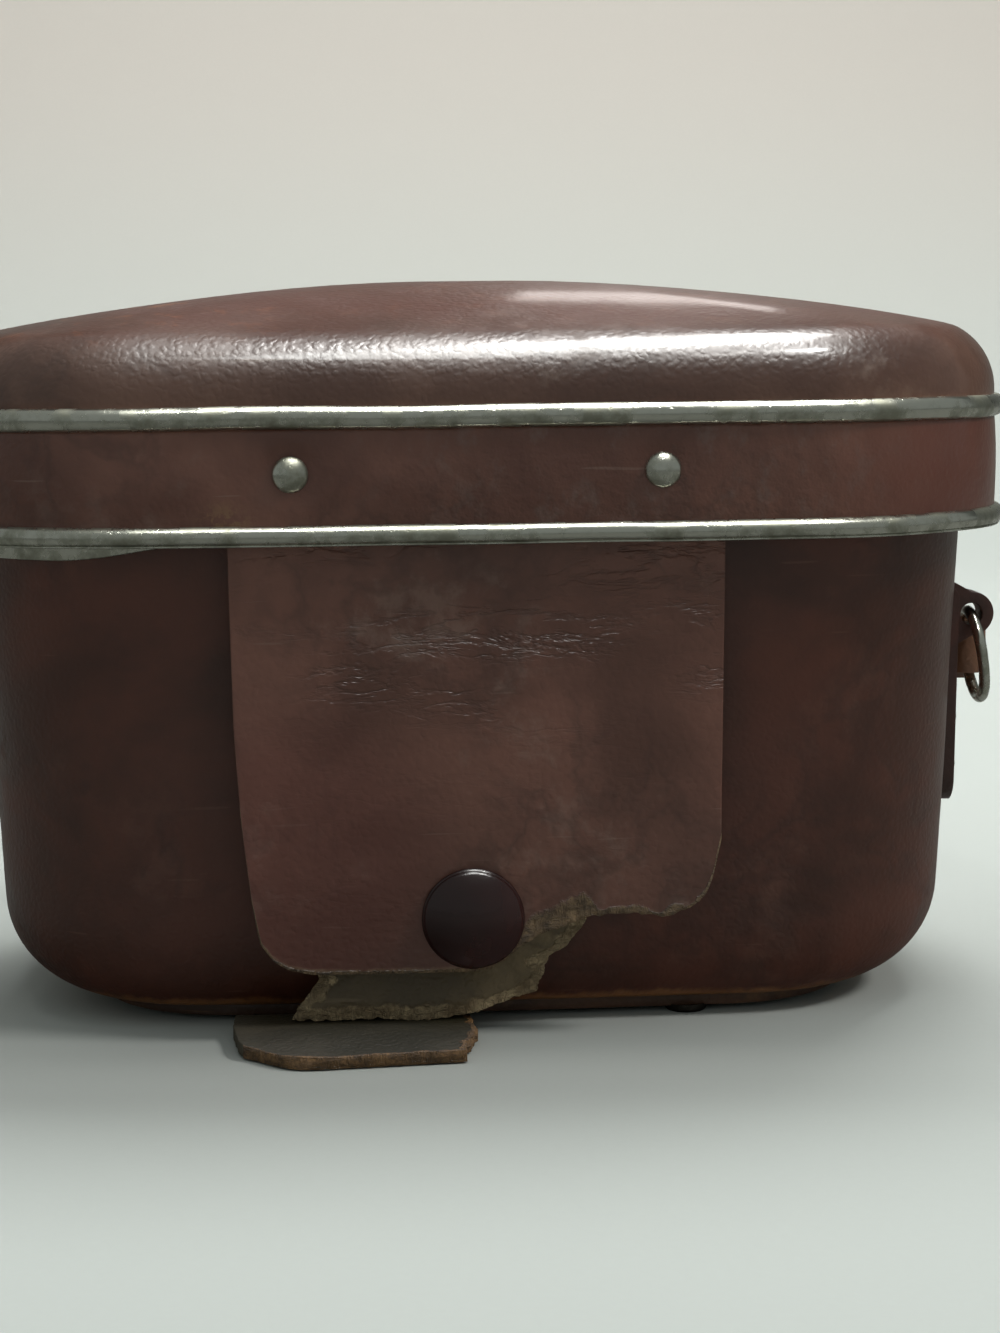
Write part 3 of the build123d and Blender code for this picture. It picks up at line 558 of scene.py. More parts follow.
def dome_levels(shrink, steps=10):
    grow = lid_grow - shrink
    edge = dome_edge - shrink
    lean = math.atan(2 * crown_rise / (half_depth + grow - edge))
    last = math.pi / 2 - lean
    rim_top = dome_high.z - shrink - crown_rise
    levels = [(grow, 0, 1, dome_low.z + 0.1 * mm)]
    for step in range(steps + 1):
        swing = last * step / steps
        height = rim_top - edge * (math.sin(last) - math.sin(swing))
        levels.append((grow - edge * (1 - math.cos(swing)), 0, 1, height))
    rim_grow = levels[-1][0]
    for keep in crown_rings:
        levels.append((rim_grow, 0, keep, rim_top + crown_rise * (1 - keep**2)))
    return levels


bm = shell_from(dome_levels(dome_wall)[::-1] + dome_levels(0))
low, high = dome_low.z + 3 * mm, dome_high.z + 20 * mm
uneven(bm, amount=0.6 * mm, wave=28 * mm, seed=7.0, low=low, high=high)
dome = subdivided(finish_mesh(bm, "dome_leather"))
ride(dome, "lid", "case_leather", "lid_dome")
bm = shell_from(dome_levels(dome_wall + lining_thick)[::-1] + dome_levels(dome_wall + glue_gap))
lid_velvet = ride(finish_mesh(bm, "lid_velvet"), "lid", "lining", "lid_lining")
print("dome:", len(dome.data.polygons), "faces")

# %% [markdown]
# ## The lid's band
#
# Between the two beads runs a flat leather band. It bulges by a hair between them, where
# the glue has let go, and it is dented a little round the two rivets that hold the flap.

# %% The band
band_wall = 2 * mm
band_bulge = 0.25 * mm
band_steps = 14
rivet_dent = 0.3 * mm
rivet_low, rivet_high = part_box("flap_rivets")
rivet_radius = (rivet_high.z - rivet_low.z) / 2
rivet_places = [
    Vector((x, rivet_low.y, (rivet_low.z + rivet_high.z) / 2))
    for x in (rivet_low.x + rivet_radius, rivet_high.x - rivet_radius)
]
levels = []
for step in range(band_steps + 1):
    share = step / band_steps
    bulge = band_bulge * 4 * share * (1 - share)
    levels.append((lid_grow + bulge, 0, 1, band_low.z + (band_high.z - band_low.z) * share))
levels += [(lid_grow - band_wall, 0, 1, band_high.z), (lid_grow - band_wall, 0, 1, band_low.z)]
bm = shell_from(levels, closed=True)
low, high = band_low.z + 0.5 * mm, band_high.z - 0.5 * mm
uneven(bm, amount=0.18 * mm, wave=9 * mm, seed=13.0, low=low, high=high)
for vert in bm.verts:
    for place in rivet_places:
        away = math.hypot(vert.co.x - place.x, vert.co.z - place.z)
        if away < 2 * rivet_radius and vert.co.y < 0:
            vert.co.y += rivet_dent * smooth_step(1.6 - away / (1.25 * rivet_radius))
band = subdivided(finish_mesh(bm, "band_leather"))
ride(band, "lid", "case_leather", "lid_band")
print("band:", len(band.data.polygons), "faces")

# %% [markdown]
# ## The nickel beads
#
# Half-round nickel strip is bent round the lid by hand, so it isn't quite even. The
# section is a half circle with flat feet, and each bead is one closed loop of it. The
# lower one also has a thin lip along its lower edge, which catches the light.

# %% The beads
bead_steps = 12
bead_wave, bead_unevenness = 18 * mm, 0.14 * mm
bead_foot = 0.4 * band_wall


def lip_levels(foot, out, rise):
    """A thin lip that stands on the foot of a bead."""
    return [(out - 0.1 * mm, 0, 1, foot), (out, 0, 1, foot + 0.4 * rise),
            (out - 0.05 * mm, 0, 1, foot + rise), (out - 0.25 * mm, 0, 1, foot + 1.2 * rise)]


def bead(name, node, seed, lip_rise, spare):
    """A half-round strip on the band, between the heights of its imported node."""
    low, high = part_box(node)
    half, rise = (high.z - low.z) / 2 + spare, high.x - band_high.x
    middle = (high.z + low.z) / 2
    levels = []
    for step in range(bead_steps + 1):
        swing = math.pi * step / bead_steps - math.pi / 2
        height = middle + half * math.sin(swing)
        levels.append((lid_grow + rise * math.cos(swing), 0, 1, height))
    if lip_rise:
        levels[:3] = lip_levels(middle - half, lid_grow + 0.62 * rise, lip_rise)
    for height in (high.z - 0.1 * mm, low.z + 0.1 * mm):
        levels.append((lid_grow - bead_foot, 0, 1, height))
    bm = shell_from(levels, closed=True)
    for vert in bm.verts:
        along = Vector((vert.co.x, vert.co.y, 0)) / bead_wave + Vector((seed, 0, 0))
        vert.co.z += bead_unevenness * noise.noise(along)
    return ride(subdivided(finish_mesh(bm, name)), "lid", "nickel", node)


upper = bead("upper_nickel_bead", "upper_bead", seed=1.0, lip_rise=0, spare=0.15 * mm)
lower = bead("lower_nickel_bead", "lower_bead", seed=5.0, lip_rise=0.35 * mm, spare=0)
print("beads:", upper.name, lower.name)

# %% [markdown]
# ## Torn leather
#
# The flap, the tongue behind it and the stub on the table are sheets with a torn edge.
# Each is a grid whose rows run from its upper edge to the torn line, so the tear is a
# short list of points with a little noise added. A vertex attribute keeps how near the
# tear each point is, and the material shows raw fibres there. Places on these sheets are
# in millimetres until a vertex takes them.

# %% Grids and ragged lines
coarse_rate, fine_rate, fine_share = 0.9, 3.1, 0.5
sheet_corner, sheet_round = 55, 0.22 * mm


def along_points(points, x):
    """The height at x on a line through points, in millimetres."""
    if x <= points[0][0]:
        return points[0][1]
    for (x0, z0), (x1, z1) in zip(points, points[1:]):
        if x <= x1:
            return z0 + (z1 - z0) * (x - x0) / (x1 - x0)
    return points[-1][1]


def ragged(x, seed, amount):
    """A fibrous unevenness of about amount millimetres along a tear."""
    coarse = noise.noise(Vector((x * coarse_rate, seed, 0)))
    fine = noise.noise(Vector((x * fine_rate, seed, 5)))
    return amount * (coarse + fine_share * fine)


def sheet_grid(across, down):
    """A unit grid from (0, 0) to (1, 1), with a layer that says how bare the leather is."""
    bm = bmesh.new()
    bmesh.ops.create_grid(bm, x_segments=across, y_segments=down, size=0.5)
    bmesh.ops.translate(bm, verts=bm.verts, vec=(0.5, 0.5, 0))
    return bm, bm.verts.layers.float.new("raw")


def sharp_edges(bm, degrees):
    """The edges whose faces meet at more than an angle."""
    inner = [edge for edge in bm.edges if len(edge.link_faces) == 2]
    return [edge for edge in inner if edge.calc_face_angle() > math.radians(degrees)]


def soften(bm, edges, radius):
    bmesh.ops.bevel(bm, geom=edges, offset=radius, offset_type="OFFSET", segments=2, profile=0.5,
                    affect="EDGES", clamp_overlap=True, material=-1)


def thickened(bm, thickness, inward):
    """Gives a sheet its thickness on the side of inward, and softens its edges."""
    bmesh.ops.recalc_face_normals(bm, faces=bm.faces)
    facing = sum((face.normal * face.calc_area() for face in bm.faces), Vector())
    if facing.dot(Vector(inward)) > 0:
        bmesh.ops.reverse_faces(bm, faces=bm.faces)
    bmesh.ops.solidify(bm, geom=bm.faces[:], thickness=thickness)
    bm.normal_update()
    soften(bm, sharp_edges(bm, sheet_corner), sheet_round)


print("ragged line at 3 mm:", round(ragged(3, 2.0, 0.35), 3))

# %% [markdown]
# ## The flap
#
# The flap is one piece of 2 mm leather. It comes out from behind the lower bead, hangs a
# little away from the body, and its lower right corner is torn off. Its left edge leans
# in on its way down. Below the pivot the sheet leans out by two degrees; above it, it
# stands upright behind the band, because that part stays with the lid.

# %% The flap's outline
pivot_y, pivot_z = joint_places["flap_hinge"].y, joint_places["flap_hinge"].z
flap_tilt = math.radians(2)
flap_thick = 2 * mm
flap_top = pivot_z + 3.6 * mm
flap_half = 30.3 * mm
flap_bottom = 8.6 * mm
side_lean = 1.1 * mm
tear = [
    (-2.5, -0.1), (1.2, 0.4), (5.1, 3.1), (7.3, 4.4), (9.7, 5.1), (12.8, 6.2), (14.1, 6.6),
    (16.7, 6.9), (19.8, 6.9), (23.8, 6.5), (26.4, 7.6), (28.4, 9.1), (29.3, 11.5), (30.3, 16),
]
corner_shape = [
    (-30.3, 30), (-29.8, 18.2), (-29.0, 9.4), (-28.1, 3.9), (-26.6, 1.8), (-24.8, 0.7),
    (-21.9, 0.05), (-19, 0),
]


def flap_edge_z(x):
    """The flap's lower edge above its lowest line at x, in millimetres."""
    if x > tear[0][0]:
        return along_points(tear, x) + ragged(x, 2.0, 0.3)
    if x < corner_shape[-1][0]:
        return along_points(corner_shape, x)
    return ragged(x, 4.0, 0.06)


def flap_sides(height):
    """The flap's left and right edges at a height, in metres."""
    down = max(0.0, min(1.0, (pivot_z - height) / (pivot_z - flap_bottom)))
    return -flap_half + side_lean * down**1.5, flap_half - side_lean * down


print("tear points:", len(tear))

# %% [markdown]
# The columns crowd together at the two sides and the rows at the bottom, so that the
# round lower corner and the torn one keep their shapes. The leather round the tear is
# thinned, its corner is lifted, and the left edge stands off and throws a shadow.

# %% The flap's mesh
columns, rows = 170, 130
row_crowding = 0.92
belly_out, corner_lift, left_lift = 0.5 * mm, 0.8 * mm, 0.7 * mm
flap_waves, frayed_in = 0.2 * mm, 0.3 * mm
below_pivot = 20 * mm
tear_starts, tear_run, broad_until, broad_run = 2.5, 4, 15.5, 3
thin_reach, broad_reach, fray_reach = 0.9, 2.9, 0.9
cut_edge = 0.45
worn_side, worn_bottom, worn_above, worn_run = 0.6, 1.4, 30, 16


def flap_bareness(x, low_x, near_tear):
    """How bare the leather is near the tear, and how broad the tear is there; in millimetres."""
    torn_part = smooth_step((low_x - tear_starts) / tear_run)
    broad = torn_part * smooth_step((broad_until - low_x) / broad_run)
    fray = noise.noise(Vector((x * 0.45, 9.0, near_tear * 0.2)))
    reach = max(0.3, thin_reach + broad_reach * broad + fray_reach * fray)
    bare = torn_part * smooth_step(1.25 - near_tear / reach)
    return max(bare, smooth_step(1 - near_tear / cut_edge)), broad


def flap_place(across, up):
    """The front face's point at a share of the width and of the height, and how bare it is."""
    spread = across - 0.1 * math.sin(4 * math.pi * across) / math.pi
    low_x = -flap_half + 2 * flap_half * spread
    bottom = flap_bottom + flap_edge_z(low_x / mm) * mm
    height = bottom + (flap_top - bottom) * up**row_crowding
    left, right = flap_sides(height)
    x = left + (right - left) * spread
    bare, broad = flap_bareness(x / mm, low_x / mm, (height - bottom) / mm)
    drop = max(0.0, pivot_z - height)
    belly = math.sin(min(1.0, drop / (46 * mm)) * math.pi) * (1 - abs(2 * across - 1) ** 3)
    right_corner = smooth_step((across - 0.72) / 0.28) * smooth_step((drop - 24 * mm) / below_pivot)
    left_edge = smooth_step((0.16 - across) / 0.16) * smooth_step((drop - 10 * mm) / below_pivot)
    waves = noise.noise(Vector((x, 0, height)) / (11 * mm)) * smooth_step(drop / (5 * mm))
    y = pivot_y - flap_thick / 2 - math.tan(flap_tilt) * drop
    y -= belly_out * belly + corner_lift * right_corner + left_lift * left_edge
    y += flap_waves * waves + frayed_in * bare * broad
    return Vector((x, y, height)), bare


bm, raw = sheet_grid(columns, rows)
worn = bm.verts.layers.float.new("worn")
for vert in bm.verts:
    across, up = vert.co.x, vert.co.y
    vert.co, vert[raw] = flap_place(across, up)
    height = vert.co.z
    left, right = flap_sides(height)
    to_side = min(vert.co.x - left, right - vert.co.x) / mm
    to_bottom = up**row_crowding * (flap_top - flap_bottom) / mm
    low_down = 0.25 + 0.75 * smooth_step((worn_above - height / mm) / worn_run)
    vert[worn] = smooth_step(1 - min(to_side / worn_side, to_bottom / worn_bottom)) * low_down
thickened(bm, flap_thick, (0, 1, 0))
flap = finish_mesh(bm, "flap_leather")
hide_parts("flap")
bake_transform(flap)
print("flap:", len(flap.data.polygons), "faces")

# %% [markdown]
# ## The torn tongue
#
# Behind the flap a second piece of leather comes up from under the case. It carries the
# stud, and it shows its flesh side. Its lower edge is torn all along, and its right edge
# is torn upwards, out to where the flap covers it.

# %% The tongue
tongue_low, tongue_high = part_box("inner_tongue")
tongue_thick = 1.6 * mm
tongue_left, tongue_width = -23.9, 30.4
tongue_edge = [
    (-23.9, 2.3), (-20.3, 2.1), (-11.9, 2.2), (-9, 1.9), (-6.8, 1.9), (-3, 2.3), (0, 2.7),
    (2.1, 3.7), (6.5, 4.9),
]
tongue_left_side = [(2.0, -23.9), (4.5, -22.4), (7.0, -20.4), (11, -20.3), (25, -20.3)]
tongue_right_side = [
    (3.0, 5.6), (4.8, 6.6), (6.1, 7.2), (9.3, 8.4), (11, 10.9), (13.9, 13.2), (25, 12.4),
]
tongue_lean, tongue_waves, tongue_fray = 1.3 * mm, 0.22 * mm, 0.25 * mm

bm, raw = sheet_grid(120, 80)
for vert in bm.verts:
    across, up = vert.co.x, vert.co.y**1.25
    guess = tongue_left + tongue_width * across
    bottom = along_points(tongue_edge, guess) + max(-0.1, ragged(guess, 11.0, 0.32))
    height = bottom + (tongue_high.z / mm - bottom) * up
    left = along_points(tongue_left_side, height) + ragged(height, 15.0, 0.35)
    right = along_points(tongue_right_side, height) + ragged(height, 17.0, 0.4)
    x = left + (right - left) * across
    edge = min(height - bottom, (x - left) * 0.8 + 0.1, (right - x) * 0.75 + 0.1)
    reach = 1.9 + 0.9 * noise.noise(Vector((x * 0.5, height * 0.5, 21.0)))
    vert[raw] = smooth_step(1.3 - edge / max(0.3, reach))
    leant = smooth_step((9.5 - height) / 6.5) * smooth_step((7 - x) / 8)
    waves = noise.noise(Vector((x * 0.28, 31.0, height * 0.28)))
    y = tongue_low.y - tongue_lean * leant + tongue_waves * waves + tongue_fray * vert[raw]
    vert.co = (x * mm, y, height * mm)
thickened(bm, tongue_thick, (0, 1, 0))
tongue = ride(finish_mesh(bm, "torn_tongue"), "root", "raw_leather", "inner_tongue")
print("tongue:", len(tongue.data.polygons), "faces")

# %% [markdown]
# ## The torn stub
#
# A stub of the same leather lies on the table under the front of the case, and it is
# skived thin where the sole lies over it. Its top is dark and its cut front edge is
# worn to the bare tan fibre.

# %% The stub
stub_low, stub_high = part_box("base_tab")
stub_thick = 0.93 * (stub_high.z - stub_low.z)
stub_left, stub_width, stub_end = -31, 28.1, -24.2
stub_front = [
    (-31, -49.0), (-29.6, -50.8), (-27.6, -54.0), (-26.2, -54.8), (-23.5, -55.0), (-2.9, -53.0),
]
stub_left_side = [
    (-55.0, -26.6), (-52, -28.3), (-47, -30.0), (-40, -31.0), (-33, -31.0), (-24, -29.2),
]
stub_right_side = [
    (-55.0, -2.9), (-51, -2.6), (-48, -1.9), (-44, -1.0), (-40, -1.3), (-24, -2.6),
]
stub_sag, skived = 0.35 * mm, 1.25 * mm

bm, raw = sheet_grid(80, 70)
for vert in bm.verts:
    across, up = vert.co.x, vert.co.y**1.2
    guess = stub_left + stub_width * across
    front = along_points(stub_front, guess) + ragged(guess, 41.0, 0.15)
    depth = front + (stub_end - front) * up
    left = along_points(stub_left_side, depth) + ragged(depth, 43.0, 0.12)
    right = along_points(stub_right_side, depth) + ragged(depth, 47.0, 0.45)
    x = left + (right - left) * across
    reach = 0.9 + 0.5 * noise.noise(Vector((depth * 0.6, 3, 0)))
    torn = smooth_step(1.2 - (right - x) / reach)
    vert[raw] = max(torn, smooth_step(1.1 - (depth - front) / 0.8))
    sag = smooth_step((-44 - depth) / 9) * (0.6 + 0.4 * noise.noise(Vector((x * 0.2, 7, 0))))
    vert.co = (x * mm, depth * mm + middle_y, stub_high.z - stub_sag * sag)
thickened(bm, stub_thick, (0, 0, -1))
for vert in bm.verts:
    under = smooth_step((vert.co.y - middle_y + 34.5 * mm) / (2.5 * mm))
    vert.co.z = max(min(vert.co.z, stub_high.z - skived * under), stub_low.z)
stub = ride(finish_mesh(bm, "torn_stub"), "root", "raw_leather", "base_tab")
print("stub:", len(stub.data.polygons), "faces")

# %% [markdown]
# ## Turned parts
#
# Caps, rivet heads and feet are round, so each is one profile, spun about its own axis
# and then turned to face its way. A profile runs from the part's outer edge to its top.

# %% Profiles and the spin


def turned(bm, profile, place, facing, steps=48):
    """Spins a (radius, height) profile into bm and stands it at place, its top to facing."""
    before = set(bm.verts)
    verts = [bm.verts.new((radius, 0, height)) for radius, height in profile]
    edges = [bm.edges.new(pair) for pair in zip(verts, verts[1:])]
    bmesh.ops.spin(bm, geom=verts + edges, cent=(0, 0, 0), axis=(0, 0, 1), angle=2 * math.pi,
                   steps=steps, use_merge=True)
    turn = Vector((0, 0, 1)).rotation_difference(Vector(facing).normalized())
    made = [vert for vert in bm.verts if vert not in before]
    stand = Matrix.Translation(place) @ turn.to_matrix().to_4x4()
    bmesh.ops.transform(bm, matrix=stand, verts=made)


def dome_profile(radius, rise, edge, steps=10):
    """A low wall with a rounded shoulder, then a dome that rises to the middle."""
    ball = (radius**2 + rise**2) / (2 * rise)
    half = math.asin(min(1.0, radius / ball))
    points = [(radius * 0.94, 0), (radius, edge * 0.3), (radius, edge * 0.75)]
    for step in range(steps + 1):
        angle = half * (1 - step / steps)
        share = 1 if step else 0.985
        height = edge + ball * (math.cos(angle) - 1) + rise
        points.append((ball * math.sin(angle) * share, height))
    return points


print("profile points:", len(dome_profile(2, 1, 0.2)))

# %% [markdown]
# The press stud's cap is a lacquered dome with a thin rolled rim. It sits on the flap's
# face, which leans out by two degrees, so the cap leans with it and rides on the flap.

# %% The cap, the rivets and the feet
cap_low, cap_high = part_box("snap_cap")
cap_radius = (cap_high.x - cap_low.x) / 2
cap_x = (cap_high.x + cap_low.x) / 2
cap_z = (cap_high.z + cap_low.z) / 2
face_y = pivot_y - flap_thick / 2 - math.tan(flap_tilt) * (pivot_z - cap_z)
cap_rise = face_y - cap_low.y
rolled_rim = ((0.9, -0.6), (0.99, -0.1), (1, 0.18), (0.992, 0.42), (0.968, 0.5), (0.958, 0.62))
cap_profile = [(cap_radius * share, height * mm) for share, height in rolled_rim]
dome_radius, dome_rise, dome_steps = cap_radius * 0.953, cap_rise - 0.75 * mm, 16
cap_ball = (dome_radius**2 + dome_rise**2) / (2 * dome_rise)
for step in range(dome_steps + 1):
    angle = math.asin(dome_radius / cap_ball) * (1 - step / dome_steps)
    height = cap_rise - cap_ball * (1 - math.cos(angle))
    cap_profile.append((cap_ball * math.sin(angle), height))
cap_facing = (0, -math.cos(flap_tilt), -math.sin(flap_tilt))
bm = bmesh.new()
turned(bm, cap_profile, (cap_x, face_y, cap_z), cap_facing, steps=96)
cap = ride(finish_mesh(bm, "press_stud_cap"), "flap", "cap_lacquer", "snap_cap")

bm = bmesh.new()
rivet_profile = dome_profile(rivet_radius, rise=1.0 * mm, edge=0.35 * mm)
for place in rivet_places:
    turned(bm, rivet_profile, place + Vector((0, 1.3 * mm, 0)), (0, -1, 0))
rivets = ride(finish_mesh(bm, "domed_rivets"), "lid", "nickel", "flap_rivets")

foot_low, foot_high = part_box("base_feet")
foot_radius, foot_round, foot_in = 2.65 * mm, 0.4 * mm, 1.0 * mm
foot_profile = [(foot_radius, -foot_in)]
for step in range(6):
    angle = math.pi / 2 * step / 5
    inset, depth = foot_round * (1 - math.cos(angle)), foot_round * (1 - math.sin(angle))
    foot_profile.append((foot_radius - inset, -depth))
foot_profile.append((0, 0))
bm = bmesh.new()
for x in (foot_low.x + foot_radius, foot_high.x - foot_radius):
    for y in (foot_low.y + foot_radius, foot_high.y - foot_radius):
        turned(bm, foot_profile, (x, y, 0), (0, 0, -1))
feet = ride(finish_mesh(bm, "round_feet"), "root", "steel", "base_feet")
print("cap, rivets and feet:", cap_radius, rivet_radius, len(feet.data.polygons))

# %% [markdown]
# ## Rings
#
# A ring is wire bent to a circle and closed by a butt joint. It hangs from the lug and
# leans out by eight degrees, so its circle is spun, turned upright and leant.

# %% The rings
wire = 0.75 * mm
ring_lean = math.radians(8)


def wire_ring(side, turn_out):
    """The ring of a side; turn_out is 1 on the right and -1 on the left."""
    node = f"ring_{side}"
    low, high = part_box(node)
    centre = (low + high) / 2
    radius = (high.y - low.y) / 2 - wire
    bm = bmesh.new()
    section = bmesh.ops.create_circle(bm, segments=20, radius=wire)["verts"]
    upright = Matrix.Translation((radius, 0, 0)) @ Matrix.Rotation(math.pi / 2, 4, "X")
    bmesh.ops.transform(bm, matrix=upright, verts=section)
    bmesh.ops.spin(bm, geom=section + bm.edges[:], cent=(0, 0, 0), axis=(0, 0, 1),
                   angle=2 * math.pi, steps=72, use_merge=True)
    for vert in bm.verts:
        angle = math.atan2(vert.co.y, vert.co.x)
        vert.co *= 1 + 0.012 * math.sin(2 * angle + 0.6) + 0.006 * math.sin(5 * angle)
    stand = Matrix.Rotation(math.pi / 2 - turn_out * ring_lean, 4, "Y")
    bm.transform(Matrix.Translation(centre) @ stand)
    return ride(finish_mesh(bm, f"{side}_ring"), node, "nickel", node)


right_ring, left_ring = wire_ring("right", 1), wire_ring("left", -1)
print("rings:", len(right_ring.data.polygons), "faces each")

# %% [markdown]
# ## Softened copies
#
# Lugs, strap ends, the sole and the flap's hidden end have the right shape already, but
# leather has no knife edges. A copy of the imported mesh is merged, its flat faces are
# joined, and its sharp edges are bevelled. Small noise stands for cutting by hand.

# %% Softened pieces
flat_angle, packed_corner, hand_wave = math.radians(1.5), 38, 4 * mm


def softened(name, node, body, slot, radius, hand=0.0, seed=0.0):
    """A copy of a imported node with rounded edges, and an uneven face if hand is given."""
    bm = bmesh.new()
    bm.from_mesh(nodes[node].data)
    bmesh.ops.remove_doubles(bm, verts=bm.verts, dist=2 * weld)
    bmesh.ops.dissolve_limit(bm, angle_limit=flat_angle, verts=bm.verts, edges=bm.edges)
    soften(bm, sharp_edges(bm, packed_corner), radius)
    if hand:
        bmesh.ops.triangulate(bm, faces=[f for f in bm.faces if len(f.verts) > 4])
        for vert in bm.verts:
            wave = noise.noise(vert.co / hand_wave + Vector((seed, 0, 0)))
            vert.co += vert.normal * hand * wave
    return ride(finish_mesh(bm, name), body, slot, node)


def strap_end(side, seed):
    return softened(f"{side}_strap_end", f"strap_end_{side}", f"ring_{side}", "strap_leather",
                    radius=0.4 * mm, hand=0.05 * mm, seed=seed)


def lug(side, seed):
    return softened(f"{side}_lug", f"lug_{side}", "root", "case_leather",
                    radius=0.35 * mm, hand=0.08 * mm, seed=seed)


right_lug, left_lug = lug("right", 1.0), lug("left", 2.0)
sole = softened("leather_sole", "sole_panel", "root", "case_leather", radius=0.3 * mm)
anchor = softened("flap_anchor_strip", "flap_anchor", "lid", "case_leather", radius=0.3 * mm)
right_end, left_end = strap_end("right", 3.0), strap_end("left", 4.0)
print("softened:", [len(thing.data.polygons) for thing in (right_lug, sole, anchor, right_end)])

# %% [markdown]
# ## Building materials from nodes
#
# A material is a small tree of nodes. Short helpers keep the trees easy to read: one
# places a node and plugs in its inputs, whether they are numbers or other nodes'
# outputs, and the rest name what they are for. An effect that several finishes share is
# a node group, and each finish gives it its own values.

# %% Helpers for nodes


def filled(tree, made, inputs):
    """Fills a node's inputs with values, or with links from other nodes' outputs."""
    for socket, value in dict(inputs).items():
        if isinstance(value, bpy.types.NodeSocket):
            tree.links.new(value, made.inputs[socket])
        else:
            made.inputs[socket].default_value = value
    return made


def placed(tree, kind, inputs=(), **settings):
    made = tree.nodes.new(kind)
    for key, value in settings.items():
        setattr(made, key, value)
    return filled(tree, made, inputs)


def maths(tree, operation, *values):
    return placed(tree, "ShaderNodeMath", enumerate(values), operation=operation).outputs[0]


def ranged(tree, value, low, high, to_low=0.0, to_high=1.0):
    """Takes value from low..high to to_low..to_high, smoothly and without leaving them."""
    inputs = {"Value": value, "From Min": low, "From Max": high,
              "To Min": to_low, "To Max": to_high}
    made = placed(tree, "ShaderNodeMapRange", inputs, interpolation_type="SMOOTHSTEP")
    return made.outputs["Result"]


def mixed(tree, factor, first, second):
    """A colour from first to second by factor; a plain one is its red, green and blue."""
    first, second = ((*tint, 1) if isinstance(tint, tuple) else tint for tint in (first, second))
    inputs = {0: factor, 6: first, 7: second}
    return placed(tree, "ShaderNodeMix", inputs, data_type="RGBA").outputs[2]


def noisy(tree, vector, scale, detail=2.0, rough=0.5, warp=0.0):
    inputs = {"Vector": vector, "Scale": scale, "Detail": detail, "Roughness": rough,
              "Distortion": warp}
    return placed(tree, "ShaderNodeTexNoise", inputs).outputs["Fac"]


def near(tree, vector, place, radius):
    """A round mask about a place in millimetres, for a spot that is worn there alone."""
    inputs = {0: vector, 1: [value * mm for value in place]}
    made = placed(tree, "ShaderNodeVectorMath", inputs, operation="DISTANCE")
    return ranged(tree, made.outputs["Value"], 0.35 * radius * mm, radius * mm, 1.0, 0.0)


def stretched(tree, vector, scale, turn=(0, 0, 0)):
    """The same coordinates, scaled apart in x, y and z after a turn."""
    inputs = {"Vector": vector, "Scale": scale, "Rotation": turn}
    return placed(tree, "ShaderNodeMapping", inputs).outputs["Vector"]


def new_group(name, inputs, outputs):
    """An empty node group; inputs are (name, default) and outputs are names."""
    tree = bpy.data.node_groups.new(name, "ShaderNodeTree")
    tree.interface.new_socket("Vector", in_out="INPUT", socket_type="NodeSocketVector")
    number = "NodeSocketFloat"
    for label, value in inputs:
        socket = tree.interface.new_socket(label, in_out="INPUT", socket_type=number)
        socket.default_value = value
    for label in outputs:
        tree.interface.new_socket(label, in_out="OUTPUT", socket_type=number)
    given = tree.nodes.new("NodeGroupInput").outputs
    result = tree.nodes.new("NodeGroupOutput").inputs
    return tree, given, result


def use_group(tree, group, **inputs):
    made = tree.nodes.new("ShaderNodeGroup")
    made.node_tree = group
    return filled(tree, made, inputs).outputs


print("node helpers are ready")

# %% [markdown]
# ## The pebbled grain
#
# Leather's grain is a net of fine furrows round small raised cells. A Voronoi texture
# gives cells, and a little noise in its coordinates keeps them from looking like
# crystals. Finer noise on top stands for the pores.

# %% Pebble grain
pebble, given, result = new_group("pebble_grain", [("Scale", 1000.0)], ["Height"])
wobble_size = 0.0011


def vector_maths(tree, operation, inputs):
    made = placed(tree, "ShaderNodeVectorMath", inputs, operation=operation)
    return made.outputs["Vector"]


inputs = {"Vector": given["Vector"], "Scale": 620.0, "Detail": 2.0}
wobble = placed(pebble, "ShaderNodeTexNoise", inputs).outputs["Color"]
wobble = vector_maths(pebble, "SUBTRACT", {0: wobble, 1: (0.5, 0.5, 0.5)})
wobble = vector_maths(pebble, "SCALE", {0: wobble, "Scale": wobble_size})
bent = vector_maths(pebble, "ADD", {0: given["Vector"], 1: wobble})
inputs = {"Vector": bent, "Scale": given["Scale"]}
cells = placed(pebble, "ShaderNodeTexVoronoi", inputs, feature="SMOOTH_F1")
cells.inputs["Smoothness"].default_value = 0.35
mound = ranged(pebble, cells.outputs["Distance"], 0.15, 0.75, 1.0, 0.0)
pores = noisy(pebble, given["Vector"], 3600.0, 2.0)
height = maths(pebble, "MULTIPLY_ADD", pores, 0.22, maths(pebble, "MULTIPLY", mound, 0.78))
pebble.links.new(height, result["Height"])
print("group:", pebble.name)

# %% [markdown]
# ## Creases
#
# Where leather has been bent for years it has long fine creases. Noise has a value of a
# half along thin wandering lines, so its distance from a half makes creases, and a
# second noise says where there are any.

